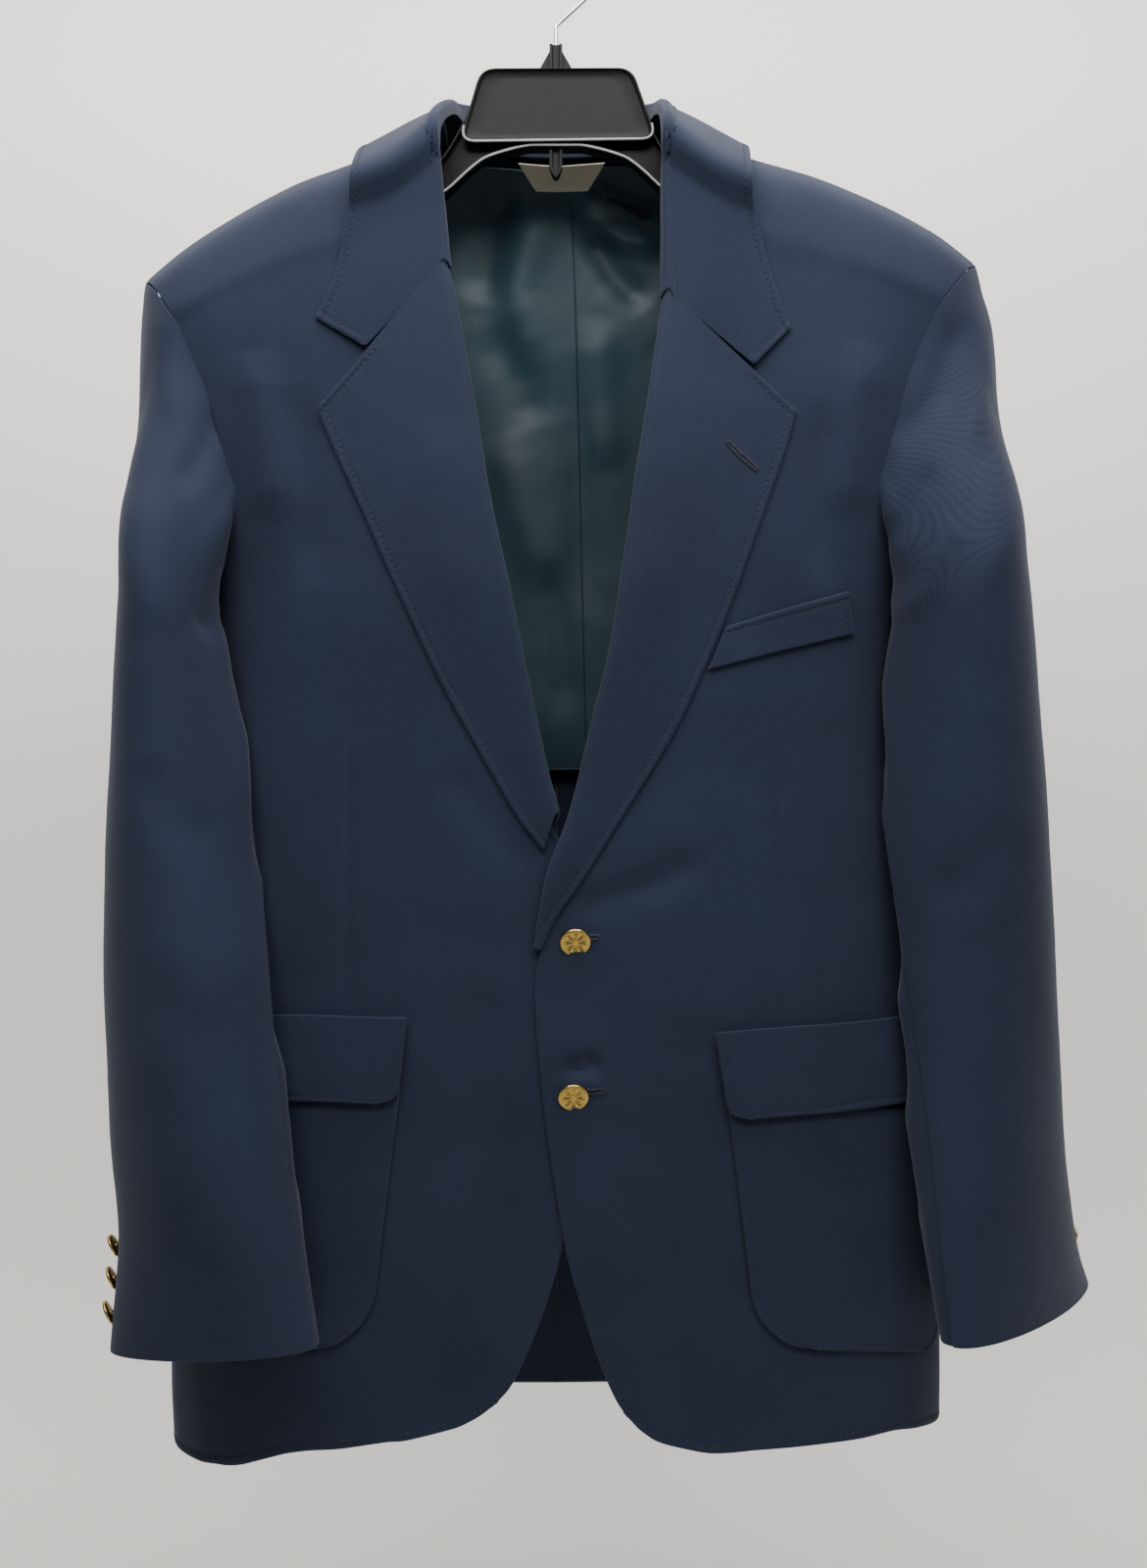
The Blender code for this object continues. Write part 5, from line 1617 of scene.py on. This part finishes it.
def hard_piece(name, points, faces, look, nodes, bevel):
    made = add_piece(name, mesh_of(name, points, faces), look, nodes)
    if bevel:
        edge = made.modifiers.new("edges", "BEVEL")
        edge.width = bevel * MM
        edge.segments = BEVEL_SEGMENTS
        edge.limit_method = "ANGLE"
    return made


def build_hanger():
    points, faces = [], []
    reach = HANGER[-1][0]
    count = int(2 * reach / ARM_STEP)
    loft(points, faces, [arm_section(-reach + 2 * reach * n / count) for n in range(count + 1)])
    for n in range(int((reach - RIB_FROM) / RIB_PITCH)):
        for side in (1, -1):
            rib(points, faces, side * (RIB_FROM + RIB_PITCH * n))
    loft(points, faces, [groove_section(z, width, POST_DEPTH) for z, width in POST])
    hard_piece("hanger_arms", points, faces, PLASTIC, ["hanger_body"], ARM_BEVEL)
    points, faces = [], []
    outline = plate_outline()
    loft(points, faces, [[(x, y, z) for x, z in inset(outline, away)] for away, y in PLATE_RINGS])
    hard_piece("hanger_plate", points, faces, PLASTIC, (), 0.0).data.shade_smooth()
    # The pale tubes along the plate's foot and along the arch below the arms are painted highlights on those
    # lower rims
    foot = [(x, PLATE_RIM_Y, z) for x, z in outline if z < PLATE_RIM_Z]
    tube("plate_rim_highlight", foot, RIM_R, PAINTED_HIGHLIGHT)
    arch = []
    for n in range(ARCH_STEPS + 1):
        x = mix(-ARCH_REACH, ARCH_REACH, n / ARCH_STEPS)
        _, bottom, half = arm_values(x)
        arch.append((x, -half, bottom + ARCH_RISE))
    tube("arch_rim_highlight", arch, RIM_R, PAINTED_HIGHLIGHT)
    points, faces = [], []
    loft(points, faces, [groove_section(z, width, NECK_DEPTH) for z, width in NECK_POST])
    fin(points, faces, 1)
    fin(points, faces, -1)
    hard_piece("hanger_socket", points, faces, PLASTIC, ["hanger_neck"], NECK_BEVEL)
    foot = Vector((0.0, 0.0, NECK_TOP - WIRE_SINK))
    bend = foot + Vector((0, 0, HOOK_STEM + WIRE_SINK))
    wire = [foot.lerp(bend, k / STEM_STEPS) for k in range(STEM_STEPS + 1)]
    first = hook_point(HOOK_START)
    wire += [bend.lerp(first, k / BEND_STEPS) for k in range(1, BEND_STEPS)]
    wire += [hook_point(mix(HOOK_START, HOOK_END, k / HOOK_STEPS)) for k in range(HOOK_STEPS + 1)]
    tube("hook_wire", wire, HOOK_WIRE_R, STEEL, ["hanger_hook"])


# Studio, in metres and watts
FLOOR_Z, BACKDROP_Y, WALL_HALF = -1.25, 0.45, 4.0
WALL_COLOUR, WALL_ROUGHNESS = (0.8, 0.785, 0.75), 0.9
WORLD_COLOUR, WORLD_STRENGTH = (0.86, 0.88, 0.9, 1.0), 0.2
LENS, FILM_HEIGHT = 41.25, 36.0
WHITE = (1, 1, 1)
# Name, place, the place it shines at, its two sides, power and colour
LIGHTS = (
    ("key", (0, -0.85, 0.4), (0, 0, -0.2), (1.5, 0.4), 20.5, (1, 0.97, 0.95)),
    ("fill", (1.3, -1.4, 0.1), (0, 0, -0.5), (1.2, 1.4), 3, (0.9, 0.95, 1)),
    ("top", (0, -0.25, 0.5), (0, 0, -0.3), (1.3, 0.5), 14, (1, 0.985, 0.97)),
    ("wall_low", (0, 0.1, -1.2), (0, BACKDROP_Y, -0.85), (1.8, 0.1), 2.6, WHITE),
    ("wall_high", (0, 0.15, 0.2), (0, BACKDROP_Y, -0.3), (1.8, 0.1), 3, WHITE),
)


def light(name, place, target, size, power, colour):
    data = bpy.data.lights.new(name, "AREA")
    data.shape = "RECTANGLE"
    data.size, data.size_y = size
    data.energy = power
    data.color = colour
    made = bpy.data.objects.new(name, data)
    made.location = place
    made.rotation_euler = (Vector(target) - Vector(place)).to_track_quat("-Z", "Y").to_euler()
    bpy.context.scene.collection.objects.link(made)


def studio():
    """A pale wall and floor, and soft light from above and in front."""
    wall_look = new_look("studio_wall", WALL_COLOUR, WALL_ROUGHNESS)[0]
    corners = [(x * WALL_HALF, y * WALL_HALF, 0) for x, y in ((-1, -1), (1, -1), (1, 1), (-1, 1))]
    for name, place, turn in (
        ("studio_floor", (0, 0, FLOOR_Z), (0, 0, 0)),
        ("studio_backdrop", (0, BACKDROP_Y, 0), (math.pi / 2, 0, 0)),
    ):
        mesh = bpy.data.meshes.new(name)
        mesh.from_pydata(corners, [], [(0, 1, 2, 3)])
        made = bpy.data.objects.new(name, mesh)
        made.location, made.rotation_euler = place, turn
        mesh.materials.append(wall_look)
        bpy.context.scene.collection.objects.link(made)
    for row in LIGHTS:
        light(*row)
    world = bpy.data.worlds.new("studio")
    world.use_nodes = True
    background = world.node_tree.nodes["Background"]
    background.inputs["Color"].default_value = WORLD_COLOUR
    background.inputs["Strength"].default_value = WORLD_STRENGTH
    bpy.context.scene.world = world


def camera():
    data = bpy.data.cameras.new("camera")
    data.sensor_fit = "VERTICAL"
    data.sensor_height = FILM_HEIGHT
    data.lens = LENS
    made = bpy.data.objects.new("camera", data)
    made.location = (EYE_X * MM, EYE_Y * MM, EYE_Z * MM)
    made.rotation_euler = (math.pi / 2, 0, 0)
    bpy.context.scene.collection.objects.link(made)
    bpy.context.scene.camera = made


camera()
studio()
dress_trunk()
dress_sleeves()
dress_collar_and_lapels()
dress_pockets()
dress_lining()
sew()
set_buttons()
build_hanger()
